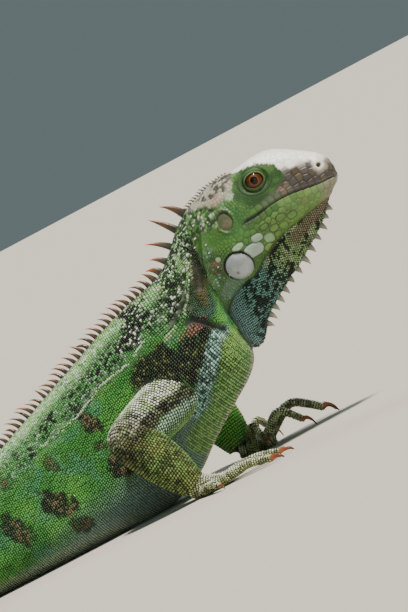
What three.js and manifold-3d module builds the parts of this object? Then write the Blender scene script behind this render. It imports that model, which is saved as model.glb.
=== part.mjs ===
// A green iguana resting on level ground: head and forequarters raised on the front legs,
// belly, hind legs and tail on the floor. Life size, a still model with no joints.
//
// Frame: millimetres, +Z up, +X towards the snout, +Y to the animal's left.
// The origin lies on the floor, in the middle of the flat that the belly rests on.
//
// The body is one skin of rings from snout to tail tip. Each ring spans a dorsal and a ventral
// point of the mid-plane, and is widest at a level between them, which on the head is the mouth
// line. Legs and digits are tubes through their joints. Neighbours are parted by thin cuts.
import * as THREE from "three";
import { mergeVertices } from "three/addons/utils/BufferGeometryUtils.js";
import Module from "manifold-3d";

const wasm = await Module();
wasm.setup();

// ---------------------------------------------------------------- driving dimensions
const GAP = 0.3; // the thin cut between neighbouring pieces
const FLOOR = 0; // the level that everything rests on

// Rings of head, neck and trunk: dorsal x, z; ventral x, z; half width; level of the widest
// point as a share of the height; how square the upper and lower halves are (2 is an ellipse).
const RINGS = {
  rostrum: [195.9, 109.6, 195.2, 102.8, 2.6, 0.08, 2.2, 2.0],
  muzzleFront: [194.9, 114.0, 194.0, 101.0, 5.4, 0.21, 2.4, 2.0],
  nostrils: [192.1, 117.2, 191.0, 98.8, 7.4, 0.28, 2.6, 2.0],
  muzzle: [188.2, 120.3, 187.5, 96.2, 8.9, 0.325, 2.7, 2.1],
  bridge: [180.0, 125.4, 180.0, 94.6, 10.6, 0.34, 2.8, 2.1],
  foreEye: [172.0, 129.7, 172.0, 93.0, 12.4, 0.36, 2.7, 2.1],
  eyes: [162.5, 130.2, 162.5, 91.2, 14.4, 0.38, 2.6, 2.1],
  crown: [154.5, 129.1, 154.5, 88.5, 15.8, 0.40, 2.4, 2.1],
  mouthCorner: [146.8, 129.2, 147.0, 84.6, 16.8, 0.435, 2.2, 2.1],
  jowls: [138.5, 128.0, 138.6, 79.6, 17.4, 0.43, 2.1, 2.1],
  headBack: [130.5, 125.4, 129.0, 77.2, 16.4, 0.44, 2.0, 2.0],
  neckFront: [121.8, 121.6, 119.0, 69.5, 15.0, 0.45, 1.9, 2.0],
  neckMiddle: [113.0, 114.8, 119.0, 58.4, 15.6, 0.45, 1.8, 1.9],
  neckBase: [104.6, 106.6, 119.8, 47.2, 18.0, 0.45, 1.75, 1.8],
  breast: [95.7, 100.4, 114.0, 38.8, 20.6, 0.45, 1.75, 1.7],
  shoulders: [80.7, 96.4, 100.8, 29.8, 23.2, 0.45, 1.75, 1.65],
  chest: [62.0, 90.7, 84.4, 18.8, 25.4, 0.43, 1.8, 1.7],
  chestBack: [43.6, 83.5, 68.6, 7.2, 26.8, 0.42, 1.85, 1.9],
  ribs: [24.5, 76.1, 47.0, -0.4, 27.6, 0.4, 1.9, 2.2],
  bellyFront: [4.4, 68.1, 20.0, -0.6, 28.2, 0.38, 1.9, 2.4],
  belly: [-16.8, 60.0, -7.0, -0.6, 27.8, 0.37, 1.9, 2.5],
  loin: [-40.0, 51.7, -34.0, -0.6, 25.5, 0.38, 1.95, 2.4],
  flank: [-64.5, 44.6, -60.0, -0.5, 22.0, 0.4, 2.0, 2.2],
  hips: [-88.0, 39.0, -85.0, -0.5, 19.0, 0.42, 2.0, 2.1],
  vent: [-108.0, 34.0, -106.0, -0.4, 16.2, 0.44, 2.0, 2.1],
};

// Tail: length from the vent, its bend over the floor, and how it thins.
const TAIL_LENGTH = 740;
const TAIL_TURN_DEG = 112; // how far the tip's heading turns to the left of straight back
const TAIL_STEPS = 22; // rings from vent to tip
const TAIL_SHARES = [0, 0.13, 0.3, 0.5, 0.72, 1]; // where the tail is parted
const TAIL_START_DEG = -7; // heading at the vent, to the right of straight back
const TAIL_HEIGHT = { tip: 1.2, root: 27, thinning: 1.15, vent: 5.8, ventReach: 22 };
const TAIL_HALF_WIDTH = { share: 0.42, ventShare: 0.055, ventReach: 60 }; // shares of the height

// Soft swellings and hollows on both sides: place, reach and how far they push the skin out.
const SWELLINGS = {
  brow: { at: [163, 11.5, 128], reach: 7, push: 1.0 },
  eyeMound: { at: [160.2, 14, 120], reach: 7, push: 1.3 },
  canthus: { at: [178, 8, 122], reach: 6, push: 0.7 },
  foreEyeHollow: { at: [172, 11, 114], reach: 5, push: -0.9 },
  nostrilMound: { at: [190.5, 7, 111.8], reach: 3.6, push: 0.7 },
  temple: { at: [149, 15, 121], reach: 7, push: -0.7 },
  jowl: { at: [138, 17, 89], reach: 11, push: 1.8 },
  neckHollow: { at: [121, 14, 92], reach: 11, push: -1.4 },
  shoulderMass: { at: [86, 23, 58], reach: 17, push: 2.4 },
  hipMass: { at: [-86, 17, 26], reach: 16, push: 1.8 },
};

const EYE = { at: [160.2, 10.1, 119.7], radius: 5.6 };
const EAR = { at: [139.3, 15.9, 109.2], size: [3.5, 1.5, 4.5], lean: 0.1 };
const CHEEK_PLATE = { at: [135.2, 17.2, 87.4], size: [7.1, 1.7, 7.1], lean: -0.05 };

// Throat flap: rings from chin to throat, as above.
const DEWLAP_RINGS = {
  chin: [188.5, 99.5, 187.6, 95.2, 1.2],
  frontEdge: [178.5, 98.0, 177.4, 86.0, 2.2],
  frontBelly: [165.5, 96.0, 162.6, 76.0, 3.0],
  middle: [151.0, 92.0, 147.4, 67.4, 3.7],
  rearBelly: [138.5, 87.0, 135.6, 59.6, 4.2],
  lowestPoint: [128.0, 80.0, 127.4, 49.8, 4.0],
  rearFold: [121.6, 76.0, 121.2, 49.0, 3.0],
  rearEdge: [117.6, 72.0, 117.4, 55.5, 1.3],
};

// Legs: shoulder or hip, elbow or knee, and wrist or ankle. aim is the foot's direction in degrees
// from straight ahead, and arch is how far the digits hump up between knuckle and claw.
const ARMS = {
  right: { root: [85, -6, 50], bend: [55.5, -45, 39.5], end: [71, -43, 7.4], aim: -6, arch: 0.5 },
  left: { root: [85, 6, 50], bend: [79, 50, 38], end: [87, 45, 7.4], aim: 4, arch: 10 },
};
const LEGS = {
  right: { root: [-88, -12, 26], bend: [-59, -53, 31], end: [-103, -60, 7.5], aim: -38, arch: 0.5 },
  left: { root: [-88, 12, 26], bend: [-62, 52, 31], end: [-107, 58, 7.5], aim: 34, arch: 1.2 },
};
// Radii at even steps, from root to bend and from bend to end.
const ARM_RADII = { upper: [14.0, 13.4, 12.6, 11.4], lower: [11.4, 11.2, 10.0, 6.9] };
const LEG_RADII = { upper: [15.5, 14.8, 12.6, 9.6], lower: [9.4, 10.0, 7.6, 5.4] };

// Digits: angle from the foot's aim, length, thickness at the root, and where on the foot
// it leaves, as a share of the palm's length and half width. The first digit is the inner one.
const PALM_LENGTH = 15;
const PALM_HALF_WIDTH = 7.2;
const FINGERS = [
  { spread: 48, length: 13, radius: 2.4, along: 0.45, across: 0.75 },
  { spread: 20, length: 22, radius: 2.5, along: 0.95, across: 0.7 },
  { spread: 3, length: 30, radius: 2.6, along: 1.0, across: 0.1 },
  { spread: -15, length: 30, radius: 2.5, along: 0.95, across: -0.5 },
  { spread: -52, length: 18, radius: 2.3, along: 0.5, across: -0.85 },
];
const SOLE_LENGTH = 26;
const SOLE_HALF_WIDTH = 8.2;
const TOES = [
  { spread: 40, length: 13, radius: 2.5, along: 0.6, across: 0.8 },
  { spread: 20, length: 24, radius: 2.6, along: 0.9, across: 0.75 },
  { spread: 8, length: 36, radius: 2.7, along: 1.0, across: 0.3 },
  { spread: -6, length: 48, radius: 2.7, along: 1.0, across: -0.25 },
  { spread: -48, length: 25, radius: 2.4, along: 0.3, across: -0.85 },
];
const CLAW_LENGTH = 6.2;

// Crest of spines along the back: pitch and the height from nape to tail.
const CREST = {
  neckPitch: 8.6,
  trunkPitch: 3.2,
  tailPitch: 5.5,
  tallest: 14.5,
  trunkHeight: 8.2,
  rumpHeight: 4.2,
  tailReach: 0.45, // share of the tail that carries spines
  neckLeanDeg: 8,
  trunkLeanDeg: 27,
  longestFoot: 4.4,
  thickness: 1.7,
  sunk: 1.2, // how deep a spine's foot sits in the skin
};
// Teeth along the throat flap's edge.
const GULAR = { count: 13, height: 4.2, length: 3.0, thickness: 1.5, leanDeg: 8, first: 0.35, reach: 4.3 };

// How finely rings and tubes are faceted.
const BODY_SIDES = 18;
const HEAD_SIDES = 22;
const HEAD_STEPS = 16;
const NECK_STEPS = 6;
const TRUNK_STEPS = 19;
const DEWLAP_SIDES = 10;
const DEWLAP_STEPS = 12;
const TAIL_SIDES = [12, 12, 10, 8, 6];
const TUBE_SIDES = 8;
const DIGIT_SIDES = 5;
const CLAW_SIDES = 4;

const COLOURS = {
  skin: [0x5fae3c, 0.62],
  crownGrey: [0xc9c9bd, 0.6],
  throat: [0x4c7f62, 0.65],
  limb: [0x86a04a, 0.6],
  spine: [0xb98a52, 0.5],
  claw: [0x6b3d1e, 0.35],
  iris: [0xa4541c, 0.15],
  plate: [0xcfd3cf, 0.35],
  eardrum: [0x7d6a45, 0.6],
};

// ---------------------------------------------------------------- small helpers
const vec = (p) => new THREE.Vector3(...p);
const { degToRad: radians, smoothstep, lerp, clamp } = THREE.MathUtils;
const power = (x, n) => Math.sign(x) * Math.abs(x) ** (2 / n);

// A smooth curve through rows of numbers: at(0) is the first row, at(1) the second and so on.
function through(rows) {
  const width = rows[0].length;
  const curves = [];
  for (let c = 0; c < width; c += 3) {
    const points = rows.map((r) => new THREE.Vector3(r[c], r[c + 1] ?? 0, r[c + 2] ?? 0));
    curves.push(new THREE.CatmullRomCurve3(points, false, "catmullrom", 0.5));
  }
  return (u) => {
    const t = clamp(u / (rows.length - 1), 0, 1);
    return curves.flatMap((curve) => curve.getPoint(t).toArray()).slice(0, width);
  };
}

// A closed solid through rings of points, with flat ends.
function loft(rings) {
  const n = rings[0].length;
  const centre = (ring) => ring.reduce((sum, p) => sum.add(p), new THREE.Vector3()).divideScalar(n);
  const points = [...rings.flat(), centre(rings[0]), centre(rings.at(-1))];
  const first = points.length - 2;
  const last = points.length - 1;
  const faces = [];
  for (let k = 0; k < n; k++) {
    const next = (k + 1) % n;
    for (let r = 0; r + 1 < rings.length; r++) {
      const [a, b, c, d] = [r * n + k, r * n + next, (r + 1) * n + next, (r + 1) * n + k];
      faces.push(a, b, c, a, c, d);
    }
    faces.push(first, next, k);
    const end = (rings.length - 1) * n;
    faces.push(last, end + k, end + next);
  }
  const geometry = new THREE.BufferGeometry();
  geometry.setFromPoints(points);
  geometry.setIndex(faces);
  return solid(geometry);
}

// A closed geometry as a manifold solid, turned right side out.
function solid(geometry) {
  const g = geometry.clone();
  g.deleteAttribute("normal");
  g.deleteAttribute("uv");
  const merged = mergeVertices(g, 1e-4);
  const vertProperties = new Float32Array(merged.attributes.position.array);
  const triVerts = new Uint32Array(merged.index.array);
  const make = () => new wasm.Manifold(new wasm.Mesh({ numProp: 3, vertProperties, triVerts }));
  const made = make();
  if (made.volume() > 0) return made;
  for (let i = 0; i < triVerts.length; i += 3) {
    [triVerts[i + 1], triVerts[i + 2]] = [triVerts[i + 2], triVerts[i + 1]];
  }
  return make();
}

function geometryOf(body) {
  const mesh = body.getMesh();
  const geometry = new THREE.BufferGeometry();
  const positions = new Float32Array(mesh.vertProperties);
  geometry.setAttribute("position", new THREE.BufferAttribute(positions, 3));
  geometry.setIndex(new THREE.BufferAttribute(new Uint32Array(mesh.triVerts), 1));
  geometry.computeVertexNormals();
  return geometry;
}

const joined = (bodies) => bodies.reduce((all, body) => all.add(body));

// The main piece of a cut solid, without the slivers that a cut can leave.
const mainPiece = (body) => body.decompose().reduce((a, b) => (a.volume() > b.volume() ? a : b));

const floorBlock = solid(new THREE.BoxGeometry(3000, 3000, 100).translate(0, 0, FLOOR - 50));
const onFloor = (body) => body.subtract(floorBlock);

// ---------------------------------------------------------------- the body's rings
// A tail ring stands upright on the tail's line over the floor.
function tailRows() {
  const rows = [];
  const [startX] = RINGS.vent;
  let x = startX;
  let y = 0;
  const fine = 40;
  for (let step = 1; step <= TAIL_STEPS; step++) {
    for (let i = 0; i < fine; i++) {
      const share = (step - 1 + i / fine) / TAIL_STEPS;
      const heading = radians(TAIL_TURN_DEG * smoothstep(share, 0.05, 0.9) + TAIL_START_DEG);
      const ds = TAIL_LENGTH / TAIL_STEPS / fine;
      x -= Math.cos(heading) * ds;
      y += Math.sin(heading) * ds;
    }
    const share = step / TAIL_STEPS;
    const along = share * TAIL_LENGTH;
    const { tip, root, thinning, vent, ventReach } = TAIL_HEIGHT;
    const top = tip + root * (1 - share) ** thinning + vent * Math.exp(-along / ventReach);
    const ventShare = TAIL_HALF_WIDTH.ventShare * Math.exp(-along / TAIL_HALF_WIDTH.ventReach);
    const halfWidth = top * (TAIL_HALF_WIDTH.share + ventShare);
    rows.push([x, y, top, x, y, -0.03 * top ** 0.5, halfWidth, 0.46, 2.0, 2.1]);
  }
  return rows;
}

const bodyRows = Object.values(RINGS).map(([dx, dz, vx, vz, ...rest]) => [
  dx, 0, dz, vx, 0, vz, ...rest,
]);
const ringNames = Object.keys(RINGS);
const allRows = [...bodyRows, ...tailRows()];
const bodyAt = through(allRows);
const LAST = allRows.length - 1;
const VENT = ringNames.indexOf("vent");
const station = (name) => ringNames.indexOf(name);

function pushOut(point, centre) {
  let amount = 0;
  for (const { at, reach, push } of Object.values(SWELLINGS)) {
    const near = Math.hypot(point.x - at[0], Math.abs(point.y) - at[1], point.z - at[2]);
    amount += push * Math.exp(-((near / reach) ** 2));
  }
  const out = point.clone().sub(centre).normalize();
  return point.addScaledVector(out, amount);
}

// The points of one ring. from and to are angles, 0 at the left side and a quarter turn at the back.
function ring(row, sides, { grow = 0, from = 0, to = 2 * Math.PI, lift = 0, ahead } = {}) {
  const [dx, dy, dz, vx, vy, vz, halfWidth, level, topPower, bottomPower] = row;
  const dorsal = new THREE.Vector3(dx, dy, dz);
  const ventral = new THREE.Vector3(vx, vy, vz);
  const centre = ventral.clone().lerp(dorsal, level);
  const up = dorsal.clone().sub(ventral).normalize();
  const side = up.clone().cross(ahead).normalize();
  const whole = to - from > 6;
  const count = whole ? sides : sides / 2 + 1;
  const points = [];
  for (let k = 0; k < count; k++) {
    const angle = from + ((to - from) * k) / (whole ? count : count - 1);
    const [c, s] = [Math.cos(angle), Math.sin(angle)];
    const n = s >= 0 ? topPower : bottomPower;
    const height = (s >= 0 ? dorsal : ventral).distanceTo(centre) + grow;
    const point = centre
      .clone()
      .addScaledVector(side, (halfWidth + grow) * power(c, n))
      .addScaledVector(up, height * power(s, n) + lift);
    points.push(pushOut(point, centre));
  }
  return points;
}

function bodyRing(u, sides, options = {}) {
  const middle = (v) => {
    const [dx, dy, dz, vx, vy, vz] = bodyAt(v);
    return new THREE.Vector3(dx + vx, dy + vy, dz + vz);
  };
  const step = 0.05;
  const ahead = middle(Math.max(0, u - step)).sub(middle(Math.min(LAST, u + step))).normalize();
  return ring(bodyAt(u), sides, { ...options, ahead });
}

// The body between two stations, with whole or half rings.
function bodyPiece(start, end, steps, sides, options = {}) {
  const rings = [];
  for (let i = 0; i <= steps; i++) {
    rings.push(bodyRing(start + ((end - start) * i) / steps, sides, options));
  }
  return loft(rings);
}

// ---------------------------------------------------------------- crest
const CREST_END = VENT + CREST.tailReach * TAIL_STEPS;
// An even scatter between 0 and 1, for lengths that are never quite alike.
const wobble = (k) => 0.5 + 0.5 * Math.sin(k * 12.9898 + 4.1) * Math.cos(k * 4.7);

// A spine's height by station: low behind the crown, tallest on the neck, low again on the tail.
function crestHeight(u, k) {
  const nape = smoothstep(u, station("jowls") + 0.6, station("neckFront"));
  const back = smoothstep(u, station("neckMiddle") + 0.5, station("breast") + 0.3);
  const rump = smoothstep(u, station("belly"), VENT + 2);
  const end = smoothstep(u, VENT, CREST_END);
  const trunk = lerp(CREST.tallest, CREST.trunkHeight, back);
  return nape * lerp(trunk, CREST.rumpHeight, rump) * (1 - 0.55 * end) * (0.78 + 0.3 * wobble(k));
}

function crestPitch(u) {
  const back = smoothstep(u, station("neckMiddle"), station("shoulders"));
  const rump = smoothstep(u, station("flank"), VENT + 2);
  return lerp(lerp(CREST.neckPitch, CREST.trunkPitch, back), CREST.tailPitch, rump);
}

// How far a spine leans back, in degrees: almost upright on the neck.
function crestLean(u) {
  const back = smoothstep(u, station("neckMiddle"), station("breast"));
  return lerp(CREST.neckLeanDeg, CREST.trunkLeanDeg, back);
}

// A three-sided blade with its sharp edge ahead, that leans back from a foot a little under the skin.
function spine(foot, along, up, height, length, thickness, lean) {
  const side = up.clone().cross(along).normalize();
  const sunk = foot.clone().addScaledVector(up, -CREST.sunk);
  const tip = foot
    .clone()
    .addScaledVector(up, Math.cos(lean) * height)
    .addScaledVector(along, -Math.sin(lean) * height);
  const axis = tip.clone().sub(sunk);
  const across = side.multiplyScalar(thickness / Math.sqrt(3));
  const ahead = along.clone().multiplyScalar(length / 1.5);
  const frame = new THREE.Matrix4().makeBasis(across, axis, ahead).setPosition(sunk.lerp(tip, 0.5));
  return solid(new THREE.ConeGeometry(1, 1, 3).applyMatrix4(frame));
}

// The crest's feet, walked along the back's mid-line.
function crestSpines() {
  const spines = [];
  const dorsal = (u) => vec(bodyAt(u).slice(0, 3));
  const step = 0.01;
  let walked = 0;
  let k = 0;
  for (let u = station("headBack") + 0.15; u < CREST_END; u += step) {
    walked += dorsal(u).distanceTo(dorsal(u + step));
    if (walked < crestPitch(u)) continue;
    walked = 0;
    k += 1;
    const along = dorsal(u - 0.1).sub(dorsal(u + 0.1)).normalize();
    const ventral = vec(bodyAt(u).slice(3, 6));
    const side = dorsal(u).sub(ventral).cross(along).normalize();
    const up = along.clone().cross(side).normalize();
    const length = Math.min(crestPitch(u) * 0.75, CREST.longestFoot);
    const lean = radians(crestLean(u));
    const body = spine(dorsal(u), along, up, crestHeight(u, k), length, CREST.thickness, lean);
    spines.push({ u, body });
  }
  return spines;
}

const spines = crestSpines();
// Spines whose foot stands clear of the piece's two cuts.
const spinesBetween = (start, end) =>
  spines.filter((s) => s.u > start + 0.15 && s.u < end - 0.15).map((s) => s.body);

// ---------------------------------------------------------------- tubes: legs and digits
// A tube through rows of x, y, z, half width and half height, with its width along across.
function tube(rows, across, sides, steps, { from = 0, to = 1, grow = 0 } = {}) {
  const at = through(rows);
  const last = rows.length - 1;
  const rings = [];
  for (let i = 0; i <= steps; i++) {
    const u = last * (from + ((to - from) * i) / steps);
    const [x, y, z, a, b] = at(u);
    const before = vec(at(Math.max(0, u - 0.05)).slice(0, 3));
    const along = vec(at(Math.min(last, u + 0.05)).slice(0, 3)).sub(before).normalize();
    const up = along.clone().cross(across).normalize();
    const side = up.clone().cross(along).normalize();
    const ringPoints = [];
    for (let k = 0; k < sides; k++) {
      const angle = (2 * Math.PI * k) / sides;
      ringPoints.push(
        new THREE.Vector3(x, y, z)
          .addScaledVector(side, (a + grow) * Math.cos(angle))
          .addScaledVector(up, (b + grow) * Math.sin(angle)),
      );
    }
    rings.push(ringPoints);
  }
  return loft(rings);
}

// A leg's two tubes, with round ends where they meet at the bend.
function legRows({ root, bend, end }, { upper, lower }) {
  const [r, b, e] = [vec(root), vec(bend), vec(end)];
  const row = (place, radius) => [...place.toArray(), radius, radius];
  const roundEnd = (from, radius) => {
    const beyond = b.clone().sub(from).normalize();
    return [
      row(b.clone().addScaledVector(beyond, radius * 0.6), radius * 0.8),
      row(b.clone().addScaledVector(beyond, radius * 0.95), radius * 0.32),
    ];
  };
  const shares = [0, 0.33, 0.66, 1];
  return {
    upper: [...shares.map((t, i) => row(r.clone().lerp(b, t), upper[i])), ...roundEnd(r, upper[3])],
    lower: [
      ...roundEnd(e, lower[0]).reverse(),
      ...shares.map((t, i) => row(b.clone().lerp(e, t), lower[i])),
    ],
  };
}

function hinge({ root, bend, end }) {
  return vec(bend).sub(vec(root)).cross(vec(end).sub(vec(bend))).normalize();
}

// A digit as a tube from start along way, humped by arch, and its hooked claw.
function digit(start, way, { length, radius }, arch) {
  const across = new THREE.Vector3(-way.y, way.x, 0);
  const row = (ahead, lift, a, b) => [
    ...start.clone().addScaledVector(way, ahead).setZ(lift).toArray(), a, b,
  ];
  const reach = length * 1.08;
  const finger = tube(
    [
      row(0, 3.0, radius * 1.15, radius * 1.1),
      row(length * 0.3, radius * 1.35 + arch * 0.6, radius, radius),
      row(length * 0.62, radius * 1.75 + arch, radius * 0.86, radius * 0.86),
      row(length * 0.88, radius * 1.35 + arch * 0.7, radius * 0.78, radius * 0.82),
      row(reach, radius * 0.95 + arch * 0.3, radius * 0.62, radius * 0.74),
    ],
    across, DIGIT_SIDES, 3,
  );
  const size = clamp(length / 24, 0.72, 1.1);
  const root = reach - 0.5;
  const claw = tube(
    [
      row(root, radius * 0.95 + arch * 0.3, 0.95 * size, 1.35 * size),
      row(root + CLAW_LENGTH * 0.4 * size, radius * 1.02 + arch * 0.32, 0.75 * size, 1.1 * size),
      row(root + CLAW_LENGTH * 0.78 * size, radius * 0.72 + arch * 0.18, 0.48 * size, 0.7 * size),
      row(root + CLAW_LENGTH * size, 0.35, 0.26, 0.3),
    ],
    across, CLAW_SIDES, 2,
  );
  return { finger, claw: mainPiece(claw.subtract(finger.translate([way.x * GAP, way.y * GAP, 0]))) };
}

// A foot: a flat palm from the wrist, and five digits that arch down to their claws.
function foot({ end, aim, arch }, hand, digits, palmLength, palmHalfWidth, wristRadius) {
  const wrist = vec(end);
  const ground = wrist.clone().setZ(0);
  const heading = (degrees) => vec([Math.cos(radians(degrees)), Math.sin(radians(degrees)), 0]);
  const ahead = heading(aim);
  const across = heading(aim + 90);
  const palmRow = (share, lift, a, b) => [
    ...ground.clone().addScaledVector(ahead, palmLength * share).setZ(lift).toArray(), a, b,
  ];
  const palm = tube(
    [
      palmRow(-0.12, wrist.z * 0.95, wristRadius * 0.9, wristRadius * 0.9),
      palmRow(0.25, wrist.z * 0.72, palmHalfWidth * 0.8, wristRadius * 0.78),
      palmRow(0.7, 3.4, palmHalfWidth, 3.7),
      palmRow(1.12, 2.7, palmHalfWidth * 0.8, 2.7),
    ],
    across, TUBE_SIDES, 3,
  );
  const grown = digits.map((d) => {
    const start = ground
      .clone()
      .addScaledVector(ahead, palmLength * d.along - 3)
      .addScaledVector(across, -hand * palmHalfWidth * d.across * 0.8);
    return digit(start, heading(aim - hand * d.spread), d, arch);
  });
  return {
    foot: onFloor(joined([palm, ...grown.map((g) => g.finger)])),
    claws: grown.map((g) => onFloor(g.claw)),
  };
}

// ---------------------------------------------------------------- throat flap
function dewlapBody() {
  const shape = [0.62, 2.2, 1.7]; // level of the widest point, and the powers
  const rows = Object.values(DEWLAP_RINGS).map(([dx, dz, vx, vz, halfWidth]) => [
    dx, 0, dz, vx, 0, vz, halfWidth, ...shape,
  ]);
  const at = through(rows);
  const ahead = new THREE.Vector3(1, 0, 0);
  const rings = [];
  for (let i = 0; i <= DEWLAP_STEPS; i++) {
    rings.push(ring(at(((rows.length - 1) * i) / DEWLAP_STEPS), DEWLAP_SIDES, { ahead }));
  }
  const edge = (u) => vec(at(u).slice(3, 6));
  const teeth = [];
  for (let k = 0; k < GULAR.count; k++) {
    const u = GULAR.first + (k / GULAR.count) * GULAR.reach;
    const along = edge(u - 0.05).sub(edge(u + 0.05)).normalize();
    const out = new THREE.Vector3(along.z, 0, -along.x).normalize();
    const height = GULAR.height * (0.62 + 0.5 * wobble(k + 3)) * (k < 2 ? 0.7 : 1);
    teeth.push(spine(edge(u), along, out, height, GULAR.length, GULAR.thickness, radians(GULAR.leanDeg)));
  }
  return joined([loft(rings), ...teeth]);
}

// ---------------------------------------------------------------- assembly
const model = new THREE.Group();
model.name = "iguana";

function place(name, body, [colour, roughness]) {
  const material = new THREE.MeshStandardMaterial({ color: colour, roughness, metalness: 0 });
  const mesh = new THREE.Mesh(geometryOf(body), material);
  mesh.name = name;
  model.add(mesh);
}

// An ellipsoid set in the head's side; side is 1 on the left and -1 on the right.
function lens({ at, size, lean }, side, grow = 0) {
  const [a, b, c] = size;
  const geometry = new THREE.SphereGeometry(1, 12, 4)
    .scale(a + grow, b + grow, c + grow)
    .rotateZ(-lean * side)
    .translate(at[0], at[1] * side, at[2]);
  return solid(geometry);
}

function eyeball(side, grow = 0) {
  const geometry = new THREE.SphereGeometry(EYE.radius + grow, 12, 6);
  return solid(geometry.translate(EYE.at[0], EYE.at[1] * side, EYE.at[2]));
}

const CUT = 0.016; // half a thin cut, in stations
const headEnd = station("headBack");
const neckEnd = station("neckBase");
const trunkEnd = VENT;
const SIDES = { right: -1, left: 1 };

let head = bodyPiece(0, headEnd - CUT, HEAD_STEPS, HEAD_SIDES, { from: 0, to: Math.PI, lift: GAP / 2 });
let jaw = bodyPiece(0, headEnd - CUT, HEAD_STEPS, HEAD_SIDES, {
  from: Math.PI,
  to: 2 * Math.PI,
  lift: -GAP / 2,
});
const neckPiece = (grow = 0) =>
  bodyPiece(headEnd + CUT, neckEnd - CUT, NECK_STEPS, BODY_SIDES, { grow });
const trunkPiece = (grow = 0) =>
  bodyPiece(neckEnd + CUT, trunkEnd - CUT, TRUNK_STEPS, BODY_SIDES, { grow });
// The body a little larger, to cut legs and throat flap back from it. Coarse facets need some room.
const ROOM = GAP + 0.15;
const headGrown = bodyPiece(0, headEnd, HEAD_STEPS, HEAD_SIDES, { grow: ROOM });
const throatGrown = joined([
  headGrown,
  bodyPiece(headEnd - 0.1, headEnd + 0.1, 1, BODY_SIDES, { grow: ROOM }),
  neckPiece(ROOM),
  neckPiece(ROOM).translate([ROOM, 0, 0]),
]);
const trunkGrown = trunkPiece(ROOM);

for (const side of Object.values(SIDES)) {
  head = head.subtract(eyeball(side, GAP)).subtract(lens(EAR, side, GAP));
  jaw = jaw.subtract(lens(CHEEK_PLATE, side, GAP));
}
place("head", head, COLOURS.crownGrey);
place("jaw", jaw, COLOURS.skin);
for (const [name, side] of Object.entries(SIDES)) {
  place(`eye_${name}`, eyeball(side), COLOURS.iris);
  place(`ear_${name}`, lens(EAR, side), COLOURS.eardrum);
  place(`cheek_plate_${name}`, lens(CHEEK_PLATE, side), COLOURS.plate);
}
place("dewlap", mainPiece(dewlapBody().subtract(throatGrown).subtract(trunkGrown)), COLOURS.throat);
place("neck", joined([neckPiece(), ...spinesBetween(headEnd, neckEnd)]), COLOURS.skin);
place("trunk", joined([onFloor(trunkPiece()), ...spinesBetween(neckEnd, trunkEnd)]), COLOURS.skin);

for (let i = 0; i + 1 < TAIL_SHARES.length; i++) {
  const start = VENT + TAIL_SHARES[i] * TAIL_STEPS;
  const end = VENT + TAIL_SHARES[i + 1] * TAIL_STEPS;
  const cut = CUT / 2; // tail rings stand further apart
  const close = i + 2 === TAIL_SHARES.length ? 0 : cut;
  const steps = Math.round((end - start) * 1.3);
  const core = onFloor(bodyPiece(start + (i ? cut : CUT), end - close, steps, TAIL_SIDES[i]));
  place(`tail_${i + 1}`, joined([core, ...spinesBetween(start, end)]), COLOURS.skin);
}

const LIMBS = [
  {
    limbs: ARMS, radii: ARM_RADII, digits: FINGERS, length: PALM_LENGTH, halfWidth: PALM_HALF_WIDTH,
    names: ["upper_arm", "forearm", "hand"],
  },
  {
    limbs: LEGS, radii: LEG_RADII, digits: TOES, length: SOLE_LENGTH, halfWidth: SOLE_HALF_WIDTH,
    names: ["thigh", "shank", "foot"],
  },
];
for (const { limbs, radii, digits, length, halfWidth, names } of LIMBS) {
  for (const side of Object.keys(SIDES)) {
    const limb = limbs[side];
    const rows = legRows(limb, radii);
    const part = (name, grow = 0) => tube(rows[name], hinge(limb), TUBE_SIDES, 6, { grow });
    const upper = part("upper").subtract(trunkGrown);
    const lower = part("lower").subtract(part("upper", GAP)).subtract(trunkGrown);
    const { foot: sole, claws } = foot(limb, SIDES[side], digits, length, halfWidth, radii.lower.at(-1));
    const bodies = [upper, lower, sole.subtract(part("lower", GAP))];
    bodies.forEach((body, i) => place(`${names[i]}_${side}`, mainPiece(onFloor(body)), COLOURS.limb));
    claws.forEach((claw, i) => place(`${names[2]}_claw_${side}_${i + 1}`, claw, COLOURS.claw));
  }
}

export default model;
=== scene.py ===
"""A life-size green iguana: scaly skin, plated head, spines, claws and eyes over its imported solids.

Shapes are worked out in millimetres, +X to the snout, +Y to the animal's left, +Z up, and put into
the meshes in metres. The skin is one closed surface; scales, spines and plates are meshes on it.
"""
import itertools
import math

import bpy
import numpy as np
from mathutils import Matrix, Vector
from mathutils.bvhtree import BVHTree
from mathutils.kdtree import KDTree


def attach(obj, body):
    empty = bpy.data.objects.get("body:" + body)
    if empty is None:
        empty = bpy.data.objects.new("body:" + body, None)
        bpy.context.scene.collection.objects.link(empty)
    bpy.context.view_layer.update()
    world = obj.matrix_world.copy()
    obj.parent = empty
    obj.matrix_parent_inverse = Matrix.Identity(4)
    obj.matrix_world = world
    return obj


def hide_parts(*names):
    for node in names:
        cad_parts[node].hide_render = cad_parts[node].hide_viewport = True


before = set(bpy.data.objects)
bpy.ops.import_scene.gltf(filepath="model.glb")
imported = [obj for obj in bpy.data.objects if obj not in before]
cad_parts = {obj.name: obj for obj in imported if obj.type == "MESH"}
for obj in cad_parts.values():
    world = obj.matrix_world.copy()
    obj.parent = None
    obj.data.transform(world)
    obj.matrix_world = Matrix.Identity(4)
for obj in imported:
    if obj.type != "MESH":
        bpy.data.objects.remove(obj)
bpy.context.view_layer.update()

MM = 0.001  # metres in a millimetre
ROOT = "root"
RIGHT, LEFT = -1, 1
SIDES = {"right": RIGHT, "left": LEFT}
rng = np.random.default_rng(28)


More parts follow.
